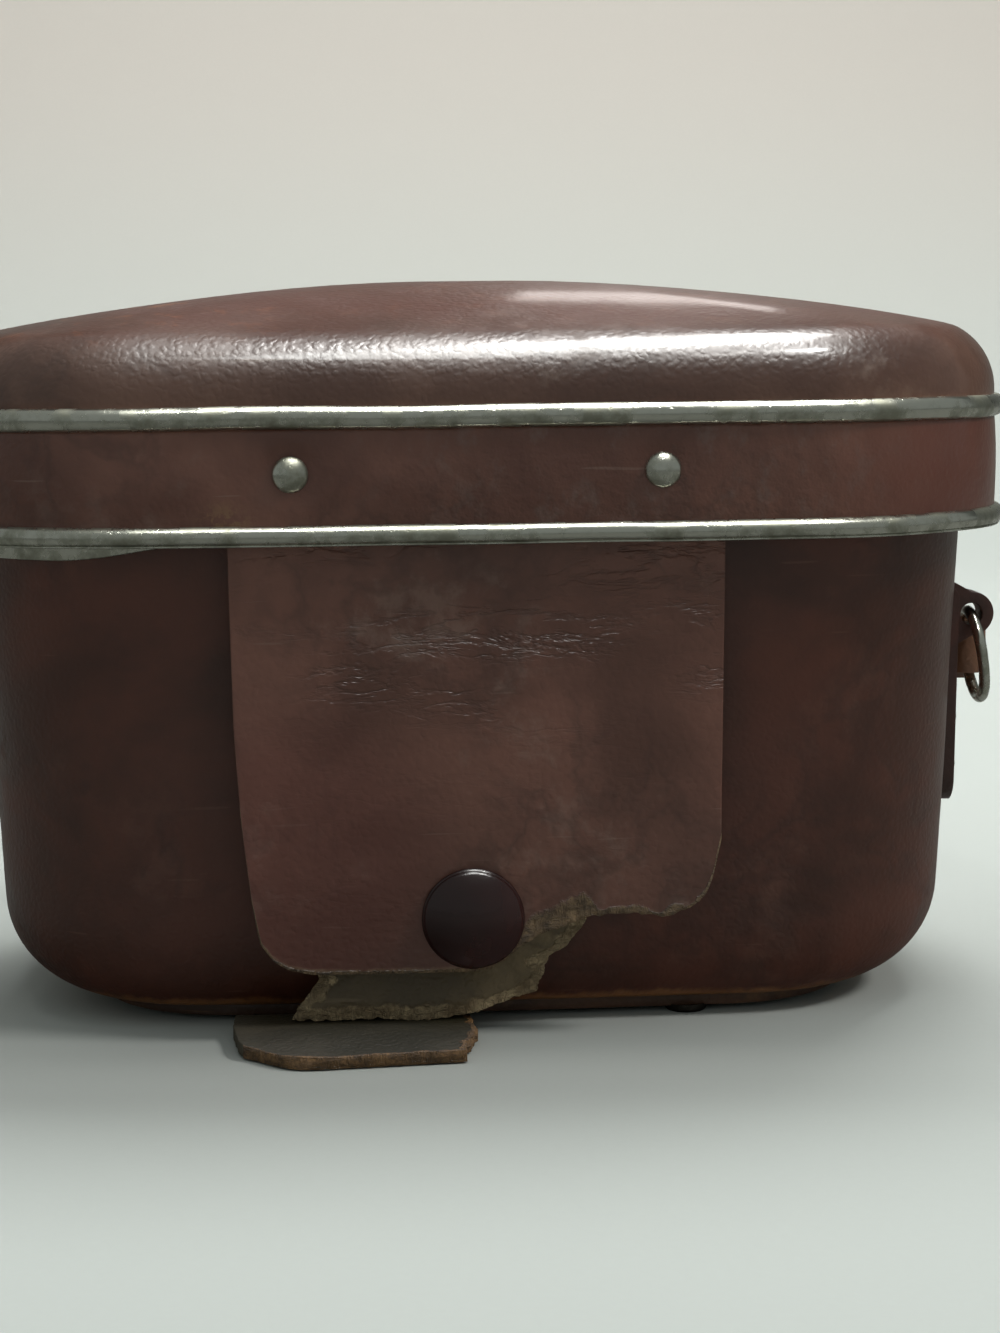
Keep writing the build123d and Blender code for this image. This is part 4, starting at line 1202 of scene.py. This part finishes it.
# %% Creases
inputs = [("Scale", 90.0), ("Width", 0.06)]
creases, given, result = new_group("creases", inputs, ["Height", "Where"])
drawn = noisy(creases, given["Vector"], given["Scale"], 4.0, 0.6, 0.3)
away = maths(creases, "ABSOLUTE", maths(creases, "SUBTRACT", drawn, 0.5))
line = maths(creases, "SUBTRACT", 1.0, maths(creases, "DIVIDE", away, given["Width"]))
line = maths(creases, "MAXIMUM", line, 0.0)
area = ranged(creases, noisy(creases, given["Vector"], 34.0, 1.0), 0.42, 0.62)
crease = maths(creases, "MULTIPLY", line, area)
creases.links.new(maths(creases, "SUBTRACT", 1.0, crease), result["Height"])
creases.links.new(crease, result["Where"])
print("group:", creases.name)

# %% [markdown]
# ## Wear
#
# An old case has three kinds of wear: broad blotches where hands and polish changed its
# colour, small scuffs where the finish has rubbed off, and single scratches. One group
# gives a mask for each, and each material chooses how much of it shows.

# %% Wear
wear, given, result = new_group("wear", [("Blotch Scale", 45.0), ("Scuff Scale", 260.0)],
                                ["Blotch", "Scuff", "Scratch"])
blotch = noisy(wear, given["Vector"], given["Blotch Scale"], 4.0, 0.58, 0.4)
wear.links.new(ranged(wear, blotch, 0.34, 0.68), result["Blotch"])
place = noisy(wear, given["Vector"], 38.0, 2.0)
speck = noisy(wear, given["Vector"], given["Scuff Scale"], 5.0, 0.68)
both = maths(wear, "MULTIPLY_ADD", place, 0.55, maths(wear, "MULTIPLY", speck, 0.45))
wear.links.new(ranged(wear, both, 0.555, 0.66), result["Scuff"])
scratch = None
for turn, scale in (((0.3, 1.1, 0.2), (60, 60, 1000)), ((0.2, -0.7, 0.4), (70, 90, 1200))):
    fine = noisy(wear, stretched(wear, given["Vector"], scale, turn), 1.0, 1.0)
    thin = ranged(wear, fine, 0.755, 0.79)
    scratch = thin if scratch is None else maths(wear, "MAXIMUM", scratch, thin)
wear.links.new(scratch, result["Scratch"])
print("group:", wear.name)

# %% [markdown]
# ## Torn fibres
#
# Torn leather shows its felted fibres: short, matted, and lighter than the dyed face.
# Two noises that are stretched different ways cross each other and look like felt.

# %% Torn fibres
fibres, given, result = new_group("torn_fibres", [("Scale", 1.0)], ["Height", "Tone"])
felt = None
for turn, scale in (((0, 0.6, 0), (450, 450, 1900)), ((0.5, -0.8, 0), (1900, 700, 420))):
    strand = stretched(fibres, given["Vector"], scale, turn)
    strand = noisy(fibres, strand, given["Scale"], 3.0, 0.65)
    felt = strand if felt is None else maths(fibres, "MAXIMUM", felt, strand)
fibres.links.new(ranged(fibres, felt, 0.42, 0.75), result["Height"])
tone = noisy(fibres, given["Vector"], 420.0, 4.0, 0.7)
fibres.links.new(ranged(fibres, tone, 0.3, 0.7), result["Tone"])
print("group:", fibres.name)

# %% [markdown]
# ## Old plating
#
# Nickel plate keeps its shine on the high places and goes dull and yellowish in
# patches, with fine scratches along it and small pits.

# %% Old plating
plating, given, result = new_group("old_plating", [("Patch Scale", 160.0)], ["Dull", "Height"])
patch = noisy(plating, given["Vector"], given["Patch Scale"], 5.0, 0.65)
plating.links.new(ranged(plating, patch, 0.4, 0.66), result["Dull"])
pits = ranged(plating, noisy(plating, given["Vector"], 1500.0, 2.0), 0.62, 0.75, 1.0, 0.0)
rub = noisy(plating, stretched(plating, given["Vector"], (180, 180, 3200)), 1.0, 2.0)
height = maths(plating, "MULTIPLY_ADD", rub, 0.35, maths(plating, "MULTIPLY", pits, 0.65))
plating.links.new(height, result["Height"])
print("group:", plating.name)

# %% [markdown]
# ## Leather finishes
#
# All the case's leathers are dyed and polished the same way, so one function builds
# them: two tones of dye in blotches, scuffs and scratches, a bump of grain and creases,
# and painted shade that darkens the creases. What only one piece has, such as a raw
# edge, is added after that.

# %% The leather function
blotch_rough, scuff_rough = 0.12, 0.22
scratch_share, crease_shade_share, crease_shade_tone = 0.25, 0.4, 0.55


def new_material(name):
    made = bpy.data.materials.new(name)
    made.use_nodes = True
    tree = made.node_tree
    place = placed(tree, "ShaderNodeTexCoord").outputs["Object"]
    return made, tree, tree.nodes["Principled BSDF"], place


def plug(tree, shader, socket, value):
    tree.links.new(value, shader.inputs[socket])


def bumped(tree, shader, height, distance, strength=1.0):
    inputs = {"Height": height, "Distance": distance, "Strength": strength}
    plug(tree, shader, "Normal", placed(tree, "ShaderNodeBump", inputs).outputs["Normal"])


def tinted(parts, mask, share, colour):
    """Lays a colour over a leather's own, by a share of the mask."""
    tree = parts["tree"]
    parts["colour"] = mixed(tree, maths(tree, "MULTIPLY", mask, share), parts["colour"], colour)


def leather(name, dark, light, scuffed, gloss, grain, crease, scuffs):
    """A dyed, polished leather; grain and crease are (scale, depth), scuffs is their share.

    It returns the material with the sockets that one piece's own effects are added to.
    """
    made, tree, shader, place = new_material(name)
    pebbles = use_group(tree, pebble, Vector=place, Scale=grain[0])
    folds = use_group(tree, creases, Vector=place, Scale=crease[0])
    worn = use_group(tree, wear, Vector=place)
    rough = maths(tree, "MULTIPLY_ADD", worn["Blotch"], blotch_rough, gloss)
    rough = maths(tree, "MULTIPLY_ADD", worn["Scuff"], scuff_rough, rough)
    height = maths(tree, "MULTIPLY", folds["Height"], crease[1])
    height = maths(tree, "MULTIPLY_ADD", pebbles["Height"], grain[1], height)
    colour = mixed(tree, worn["Blotch"], dark, light)
    parts = {"material": made, "tree": tree, "shader": shader, "place": place,
             "colour": colour, "rough": rough, "height": height}
    tinted(parts, worn["Scuff"], scuffs, scuffed)
    tinted(parts, worn["Scratch"], scratch_share, scuffed)
    # The creases are painted darker, as painted shade in their furrows.
    tinted(parts, folds["Where"], crease_shade_share, tuple(crease_shade_tone * part for part in dark))
    return parts


def finished(parts, *things, coat=0.12, coat_rough=0.22):
    """Plugs a leather's colour, roughness and bump into its shader, polishes it and uses it."""
    tree, shader = parts["tree"], parts["shader"]
    plug(tree, shader, "Base Color", parts["colour"])
    plug(tree, shader, "Roughness", parts["rough"])
    bumped(tree, shader, parts["height"], 1.0 * mm)
    shader.inputs["Coat Weight"].default_value = coat
    shader.inputs["Coat Roughness"].default_value = coat_rough
    for thing in things:
        thing.data.materials.append(parts["material"])
    print("finish:", parts["material"].name)


def bare_fibre(parts, dark, light, depth):
    """Lays bare fibre over a leather where the mesh's raw attribute says that it is torn."""
    tree = parts["tree"]
    torn = placed(tree, "ShaderNodeAttribute", attribute_name="raw").outputs["Fac"]
    felt = use_group(tree, fibres, Vector=parts["place"])
    soft = maths(tree, "MULTIPLY_ADD", felt["Tone"], 0.35, maths(tree, "SUBTRACT", torn, 0.17))
    mask = ranged(tree, soft, 0.25, 0.6)
    fibre = mixed(tree, felt["Tone"], dark, light)
    parts["colour"] = mixed(tree, mask, parts["colour"], fibre)
    parts["rough"] = maths(tree, "MULTIPLY_ADD", mask, 0.4, parts["rough"])
    lifted = maths(tree, "MULTIPLY", maths(tree, "MULTIPLY", felt["Height"], mask), depth)
    parts["height"] = maths(tree, "ADD", parts["height"], lifted)


print("leather function is ready")

# %% [markdown]
# The body is the smoothest and darkest. Along the edge where the wall meets the sole it
# is painted orange tan: partly dye worn off there, partly a painted highlight on that edge.

# %% Body leather
tan_wear_and_highlight = (0.24, 0.10, 0.035)
parts = leather(
    "body_leather", dark=(0.048, 0.0132, 0.0062), light=(0.090, 0.0225, 0.0105),
    scuffed=(0.16, 0.070, 0.045), gloss=0.36, grain=(1300, 0.035), crease=(60, 0.02), scuffs=0.22,
)
tree, place = parts["tree"], parts["place"]
axes = placed(tree, "ShaderNodeSeparateXYZ", {"Vector": place}).outputs
jagged = noisy(tree, place, 140.0, 4.0, 0.7)
jagged = maths(tree, "MULTIPLY_ADD", jagged, 3.2 * mm, axes["Z"])
# The tan line at the foot of the wall is partly worn dye and partly a painted highlight.
rubbed = ranged(tree, jagged, floor_z + 2.1 * mm, floor_z + 3.1 * mm, 1.0, 0.0)
tinted(parts, rubbed, 0.8, tan_wear_and_highlight)
finished(parts, body, coat=0.10, coat_rough=0.20)

# %% [markdown]
# The dome was handled most, and orange flecks show at the left of its crown. The crown
# is painted redder, as painted light from above, so the part just above the bead is greyer.

# %% Dome leather
lit_crown_red, crown_orange = (0.115, 0.029, 0.015), (0.26, 0.080, 0.026)
parts = leather(
    "dome_leather", dark=(0.082, 0.0340, 0.0220), light=(0.135, 0.062, 0.040),
    scuffed=(0.22, 0.13, 0.085), gloss=0.33, grain=(1150, 0.036), crease=(70, 0.02), scuffs=0.3,
)
tree, place = parts["tree"], parts["place"]
axes = placed(tree, "ShaderNodeSeparateXYZ", {"Vector": place}).outputs
uneven_height = maths(tree, "MULTIPLY_ADD", noisy(tree, place, 60.0, 3.0), 9 * mm, axes["Z"])
# The crown is painted redder by height, as painted light from above.
lit_crown_mask = ranged(tree, uneven_height, dome_high.z - 4.5 * mm, dome_high.z + 1.5 * mm)
tinted(parts, lit_crown_mask, 1.0, lit_crown_red)
flecks = ranged(tree, noisy(tree, place, 190.0, 6.0, 0.75), 0.53, 0.64)
flecks = maths(tree, "MULTIPLY", flecks, lit_crown_mask)
left_crown = near(tree, place, (-50, -26, 88), 32)
tinted(parts, flecks, maths(tree, "MULTIPLY_ADD", left_crown, 0.7, 0.2), crown_orange)
finished(parts, dome, coat=0.38, coat_rough=0.12)

# %% [markdown]
# The band has been knocked most, so it is dented in the middle, with grey smudges there
# that are partly scuffing and partly painted sheen. It is cleaner and redder at the right
# end. By the lower bead one spot has rubbed through to orange.

# %% Band leather
smudge_and_sheen_grey, spot_orange, end_red = (0.15, 0.115, 0.10), (0.22, 0.12, 0.05), (0.105, 0.022, 0.012)
parts = leather(
    "band_leather", dark=(0.088, 0.0290, 0.0175), light=(0.160, 0.062, 0.040),
    scuffed=(0.23, 0.165, 0.13), gloss=0.33, grain=(1150, 0.035), crease=(90, 0.03), scuffs=0.15,
)
tree, place = parts["tree"], parts["place"]
knocked = near(tree, place, (22, -38, 70), 46)
depth = maths(tree, "MULTIPLY_ADD", knocked, 0.62, 0.12)
dents = maths(tree, "MULTIPLY", noisy(tree, place, 210.0, 4.0, 0.65), depth)
parts["height"] = maths(tree, "ADD", dents, parts["height"])
# Grey smudges in the knocked middle: partly real scuffing, partly painted sheen.
smudge_and_sheen_mask = stretched(tree, place, (330, 330, 230), (0, 0.5, 0))
smudge_and_sheen_mask = ranged(tree, noisy(tree, smudge_and_sheen_mask, 1.0, 4.0, 0.65), 0.5, 0.70)
tinted(parts, maths(tree, "MULTIPLY", smudge_and_sheen_mask, knocked), 0.3, smudge_and_sheen_grey)
rubbed = ranged(tree, noisy(tree, place, 420.0, 5.0, 0.75), 0.47, 0.56)
rubbed = maths(tree, "MULTIPLY", rubbed, near(tree, place, (-30.5, -38, 63.0), 5.0))
tinted(parts, rubbed, 0.6, spot_orange)
tinted(parts, near(tree, place, (64, -26, 70), 26), 0.55, end_red)
finished(parts, band, coat=0.40, coat_rough=0.14)

# %% [markdown]
# The flap has long fine creases across its upper half, where it bends when it is
# opened, a worn pale line along its lower edge, and the torn corner with its fibres.

# %% Flap leather
crease_shade_brown, side_red, edge_tan = (0.026, 0.010, 0.008), (0.105, 0.019, 0.012), (0.20, 0.12, 0.07)
parts = leather(
    "flap_leather", dark=(0.090, 0.0330, 0.0205), light=(0.165, 0.064, 0.042),
    scuffed=(0.24, 0.160, 0.125), gloss=0.36, grain=(1050, 0.05), crease=(80, 0.03), scuffs=0.3,
)
tree, place = parts["tree"], parts["place"]
axes = placed(tree, "ShaderNodeSeparateXYZ", {"Vector": place}).outputs
across_flap = stretched(tree, place, (1.0, 1.0, 3.2), (0, 0.16, 0))
bends = use_group(tree, creases, Vector=across_flap, Scale=120.0, Width=0.06)
upper_half = ranged(tree, axes["Z"], pivot_z - 26 * mm, pivot_z - 10 * mm, 0.12, 1.0)
bent = maths(tree, "MULTIPLY", bends["Where"], upper_half)
bend_depth = maths(tree, "MULTIPLY", bent, 0.13)
parts["height"] = maths(tree, "SUBTRACT", parts["height"], bend_depth)
# The bends are painted darker, as painted shade in their furrows.
tinted(parts, bent, 0.25, crease_shade_brown)
tinted(parts, near(tree, place, (-24, -38, 22), 26), 0.45, side_red)
border = placed(tree, "ShaderNodeAttribute", attribute_name="worn").outputs["Fac"]
broken = maths(tree, "MULTIPLY_ADD", noisy(tree, place, 300.0, 4.0, 0.7), 0.9, border)
tinted(parts, ranged(tree, broken, 0.85, 1.25), 0.75, edge_tan)
bare_fibre(parts, dark=(0.075, 0.046, 0.025), light=(0.28, 0.18, 0.095), depth=0.6)
finished(parts, flap, coat=0.20, coat_rough=0.20)

# %% [markdown]
# The tongue and the stub show the flesh side: olive brown and matt, with tan edges.

# %% Raw leathers
parts = leather(
    "flesh_side", dark=(0.085, 0.058, 0.027), light=(0.185, 0.128, 0.062),
    scuffed=(0.26, 0.19, 0.11), gloss=0.52, grain=(1500, 0.10), crease=(140, 0.08), scuffs=0.6,
)
bare_fibre(parts, dark=(0.21, 0.145, 0.078), light=(0.48, 0.36, 0.21), depth=0.7)
finished(parts, tongue)
parts = leather(
    "stub_leather", dark=(0.036, 0.032, 0.018), light=(0.075, 0.060, 0.034),
    scuffed=(0.15, 0.11, 0.06), gloss=0.5, grain=(1400, 0.09), crease=(120, 0.06), scuffs=0.6,
)
bare_fibre(parts, dark=(0.10, 0.055, 0.024), light=(0.30, 0.165, 0.070), depth=0.6)
finished(parts, stub)

# %% [markdown]
# The lugs and the hidden strip are the case's own leather, the sole is the same but
# browner and more scuffed, and the strap is a lighter brown. The strap's borders are
# pale, with a pressed line beside each, and both follow the band by its own attribute.

# %% Lug, sole and strap leathers
parts = leather(
    "lug_leather", dark=(0.034, 0.010, 0.006), light=(0.070, 0.020, 0.012),
    scuffed=(0.15, 0.08, 0.05), gloss=0.36, grain=(1200, 0.05), crease=(90, 0.03), scuffs=0.45,
)
finished(parts, right_lug, left_lug, anchor)
parts = leather(
    "sole_leather", dark=(0.050, 0.022, 0.012), light=(0.11, 0.048, 0.022),
    scuffed=(0.26, 0.13, 0.05), gloss=0.5, grain=(1300, 0.06), crease=(90, 0.04), scuffs=0.8,
)
finished(parts, sole)
border_tan, pressed_at, pressed_depth = (0.33, 0.19, 0.10), 0.68, 0.25
parts = leather(
    "strap_leather", dark=(0.085, 0.032, 0.015), light=(0.17, 0.070, 0.032),
    scuffed=(0.30, 0.16, 0.08), gloss=0.42, grain=(1400, 0.05), crease=(160, 0.05), scuffs=0.5,
)
tree = parts["tree"]
border = placed(tree, "ShaderNodeAttribute", attribute_name="border").outputs["Fac"]
from_middle = maths(tree, "ABSOLUTE", border)
tinted(parts, ranged(tree, from_middle, 0.86, 0.95), 0.6, border_tan)
from_line = maths(tree, "ABSOLUTE", maths(tree, "SUBTRACT", from_middle, pressed_at))
pressed = ranged(tree, from_line, 0.0, 0.06, 1.0, 0.0)
pressed = maths(tree, "MULTIPLY", pressed, pressed_depth)
parts["height"] = maths(tree, "SUBTRACT", parts["height"], pressed)
finished(parts, strap, right_end, left_end)

# %% [markdown]
# ## Metal, lacquer and velvet
#
# The nickel is bright and slightly green, with dull patches. The steel behind it is
# plain, and the feet's steel is painted dark, as painted shade under the case. The cap is
# lacquered so dark that its highlight makes its shape, and the velvet is matt with a
# sheen at glancing angles.

# %% Nickel and steel


def plated(name, bright, dull, shine, matt, patch_scale):
    """Old plate whose roughness goes from shine to matt where it is dull."""
    made, tree, shader, place = new_material(name)
    old = use_group(tree, plating, **{"Vector": place, "Patch Scale": patch_scale})
    plug(tree, shader, "Base Color", mixed(tree, old["Dull"], bright, dull))
    rough = maths(tree, "MULTIPLY_ADD", old["Dull"], matt - shine, shine)
    plug(tree, shader, "Roughness", rough)
    bumped(tree, shader, old["Height"], 0.05 * mm, 0.6)
    shader.inputs["Metallic"].default_value = 1.0
    return made


nickel = plated("old_nickel", bright=(0.56, 0.56, 0.49), dull=(0.30, 0.30, 0.24),
                shine=0.19, matt=0.44, patch_scale=230.0)
steel = plated("plain_steel", bright=(0.42, 0.41, 0.38), dull=(0.22, 0.20, 0.17),
               shine=0.32, matt=0.52, patch_scale=120.0)
# The feet's steel is painted dark, as painted shade under the case.
shade_dark_steel = plated("steel_darkened_for_shade", bright=(0.075, 0.065, 0.055), dull=(0.03, 0.025, 0.02),
                    shine=0.4, matt=0.65, patch_scale=300.0)
for thing in (upper, lower, rim, rivets, right_ring, left_ring):
    thing.data.materials.append(nickel)
feet.data.materials.append(shade_dark_steel)
print("metals:", nickel.name, steel.name, shade_dark_steel.name)

# %% Cap lacquer
lacquer, tree, shader, place = new_material("cap_lacquer")
blotch = use_group(tree, wear, Vector=place)["Blotch"]
tint = mixed(tree, blotch, (0.018, 0.006, 0.006), (0.036, 0.010, 0.009))
plug(tree, shader, "Base Color", tint)
rough = maths(tree, "MULTIPLY_ADD", noisy(tree, place, 500.0, 4.0, 0.7), 0.18, 0.13)
plug(tree, shader, "Roughness", rough)
bumped(tree, shader, noisy(tree, place, 900.0, 3.0, 0.6), 0.06 * mm, 0.8)
cap.data.materials.append(lacquer)
print("finish:", lacquer.name)

# %% Velvet
velvet, tree, shader, place = new_material("red_velvet")
pile = noisy(tree, place, 2600.0, 2.0)
lay = ranged(tree, noisy(tree, place, 60.0, 3.0, 0.6), 0.35, 0.65)
brushed = maths(tree, "MULTIPLY_ADD", pile, 0.4, maths(tree, "MULTIPLY", lay, 0.6))
tint = mixed(tree, brushed, (0.070, 0.010, 0.010), (0.20, 0.030, 0.026))
plug(tree, shader, "Base Color", tint)
plug(tree, shader, "Roughness", maths(tree, "MULTIPLY_ADD", pile, 0.1, 0.85))
bumped(tree, shader, pile, 0.25 * mm)
shader.inputs["Sheen Weight"].default_value = 0.6
shader.inputs["Sheen Roughness"].default_value = 0.4
shader.inputs["Specular IOR Level"].default_value = 0.1
for thing in (lining, lid_velvet, pad):
    thing.data.materials.append(velvet)
print("finish:", velvet.name)

# %% [markdown]
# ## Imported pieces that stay
#
# Pins, washers, the hinge, the screw and the press stud's inner parts are turned or
# pressed metal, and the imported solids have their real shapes. They only take a finish.

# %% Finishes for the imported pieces
kept = {
    nickel: ("lug_rivets", "camera_screw", "screw_bush", "stud_post", "strap_rivet_left",
             "strap_rivet_right"),
    steel: ("lid_frame", "flap_rivet_washers", "hinge_leaf_lid", "hinge_leaf_body", "hinge_pin",
            "hinge_rivets_lid", "hinge_rivets_body", "snap_socket", "stud_backing"),
}
for finish, names in kept.items():
    for name in names:
        solid = nodes[name]
        if solid.material_slots:
            for slot in solid.material_slots:
                slot.material = finish
        else:
            solid.data.materials.append(finish)
print("finished:", sum(len(names) for names in kept.values()), "packed pieces")

# %% [markdown]
# ## The stage and the light
#
# The photograph has a plain pale table and a plain wall. The two are one curved sheet,
# far enough back that the case throws no shadow on the wall. The wall is a little
# warmer than the table, so the sheet's colour changes with its height. A real room is
# dim on the viewer's side, so what gloss sees of the sheet is darker than the sheet.

# %% Stage
table_end, bend, half_sheet = 0.62, 0.45, 2.5
bm = bmesh.new()
bmesh.ops.create_grid(bm, x_segments=2, y_segments=60, size=1)
for vert in bm.verts:
    distance = -1.0 + 1.5 * (vert.co.y + 1)
    turn = min(max(0.0, distance - table_end) / bend, math.pi / 2)
    past = max(0.0, distance - table_end - bend * math.pi / 2)
    back = min(distance, table_end) + bend * math.sin(turn)
    vert.co = (vert.co.x * half_sheet, back, bend * (1 - math.cos(turn)) + past)
stage = finish_mesh(bm, "table_and_wall")
made, tree, shader, place = new_material("pale_table")
height = placed(tree, "ShaderNodeSeparateXYZ", {"Vector": place}).outputs["Z"]
tint = mixed(tree, ranged(tree, height, 0.0, 0.25), (0.545, 0.580, 0.555), (0.62, 0.575, 0.53))
mottle = ranged(tree, noisy(tree, place, 900.0, 3.0), 0.3, 0.7)
tint = mixed(tree, maths(tree, "MULTIPLY", mottle, 0.05), tint, (0.45, 0.46, 0.44))
glossy = placed(tree, "ShaderNodeLightPath").outputs["Is Glossy Ray"]
plug(tree, shader, "Base Color", mixed(tree, glossy, tint, (0.16, 0.165, 0.155)))
shader.inputs["Roughness"].default_value = 0.75
shader.inputs["Specular IOR Level"].default_value = 0.25
stage.data.materials.append(made)
print("stage:", len(stage.data.polygons), "faces")

# %% [markdown]
# The light on the table comes from above and behind, so that the case throws a soft
# shade towards the viewer, and a lamp at the right lets the flap throw its shadow to the
# left. Those lamps are hidden from gloss. The highlights have lamps of their own that
# light nothing else: a small one overhead for the dome's edge, one further forward for
# the cap, a panel for the beads, and a low one behind the case for the crown's sheen.

# %% Lights


def lamp(name, place, target, size, power, colour):
    """An area lamp at place that faces target; size is its two sides, power is in watts."""
    data = bpy.data.lights.new(name, "AREA")
    data.shape = "RECTANGLE"
    data.size, data.size_y = size
    data.energy = power
    data.color = colour
    thing = new_object(name, data)
    thing.location = place
    thing.rotation_euler = (Vector(target) - Vector(place)).to_track_quat("-Z", "Y").to_euler()
    return thing


case_middle = (0, 0, 0.05)
lighting = (
    lamp("back_window", (0.15, 0.50, 1.0), case_middle, (0.7, 0.5), 10, (0.98, 1.0, 0.98)),
    lamp("wall_lamp", (0, 0.1, 1.3), (0, 1.07, 0.25), (1.0, 0.3), 3.2, (1.0, 0.99, 0.96)),
    lamp("right_lamp", (0.75, -0.25, 0.75), case_middle, (0.2, 0.2), 3.6, (1.0, 0.98, 0.95)),
)
for thing in lighting:
    thing.visible_glossy = False
highlights = (
    lamp("small_lamp", (0.10, -0.01, 0.95), case_middle, (0.12, 0.07), 6, (1.0, 0.99, 0.97)),
    lamp("cap_lamp", (0.27, -0.27, 0.87), case_middle, (0.10, 0.05), 3.5, (1.0, 1.0, 0.97)),
    lamp("bead_panel", (0.12, -0.05, 1.1), case_middle, (0.9, 0.2), 13, (0.98, 1.0, 0.97)),
    lamp("crown_lamp", (0.13, 0.85, 0.48), (0, 0, 0.09), (0.14, 0.10), 0.17, (1.0, 0.93, 0.88)),
)
for thing in highlights:
    thing.visible_diffuse = False
room = bpy.data.worlds.new("room")
bpy.context.scene.world = room
room.use_nodes = True
background = room.node_tree.nodes["Background"].inputs
background["Color"].default_value = (0.93, 1.0, 0.97, 1)
background["Strength"].default_value = 0.27
bpy.context.scene.view_settings.view_transform = "Standard"
print("lamps:", len(bpy.data.lights))
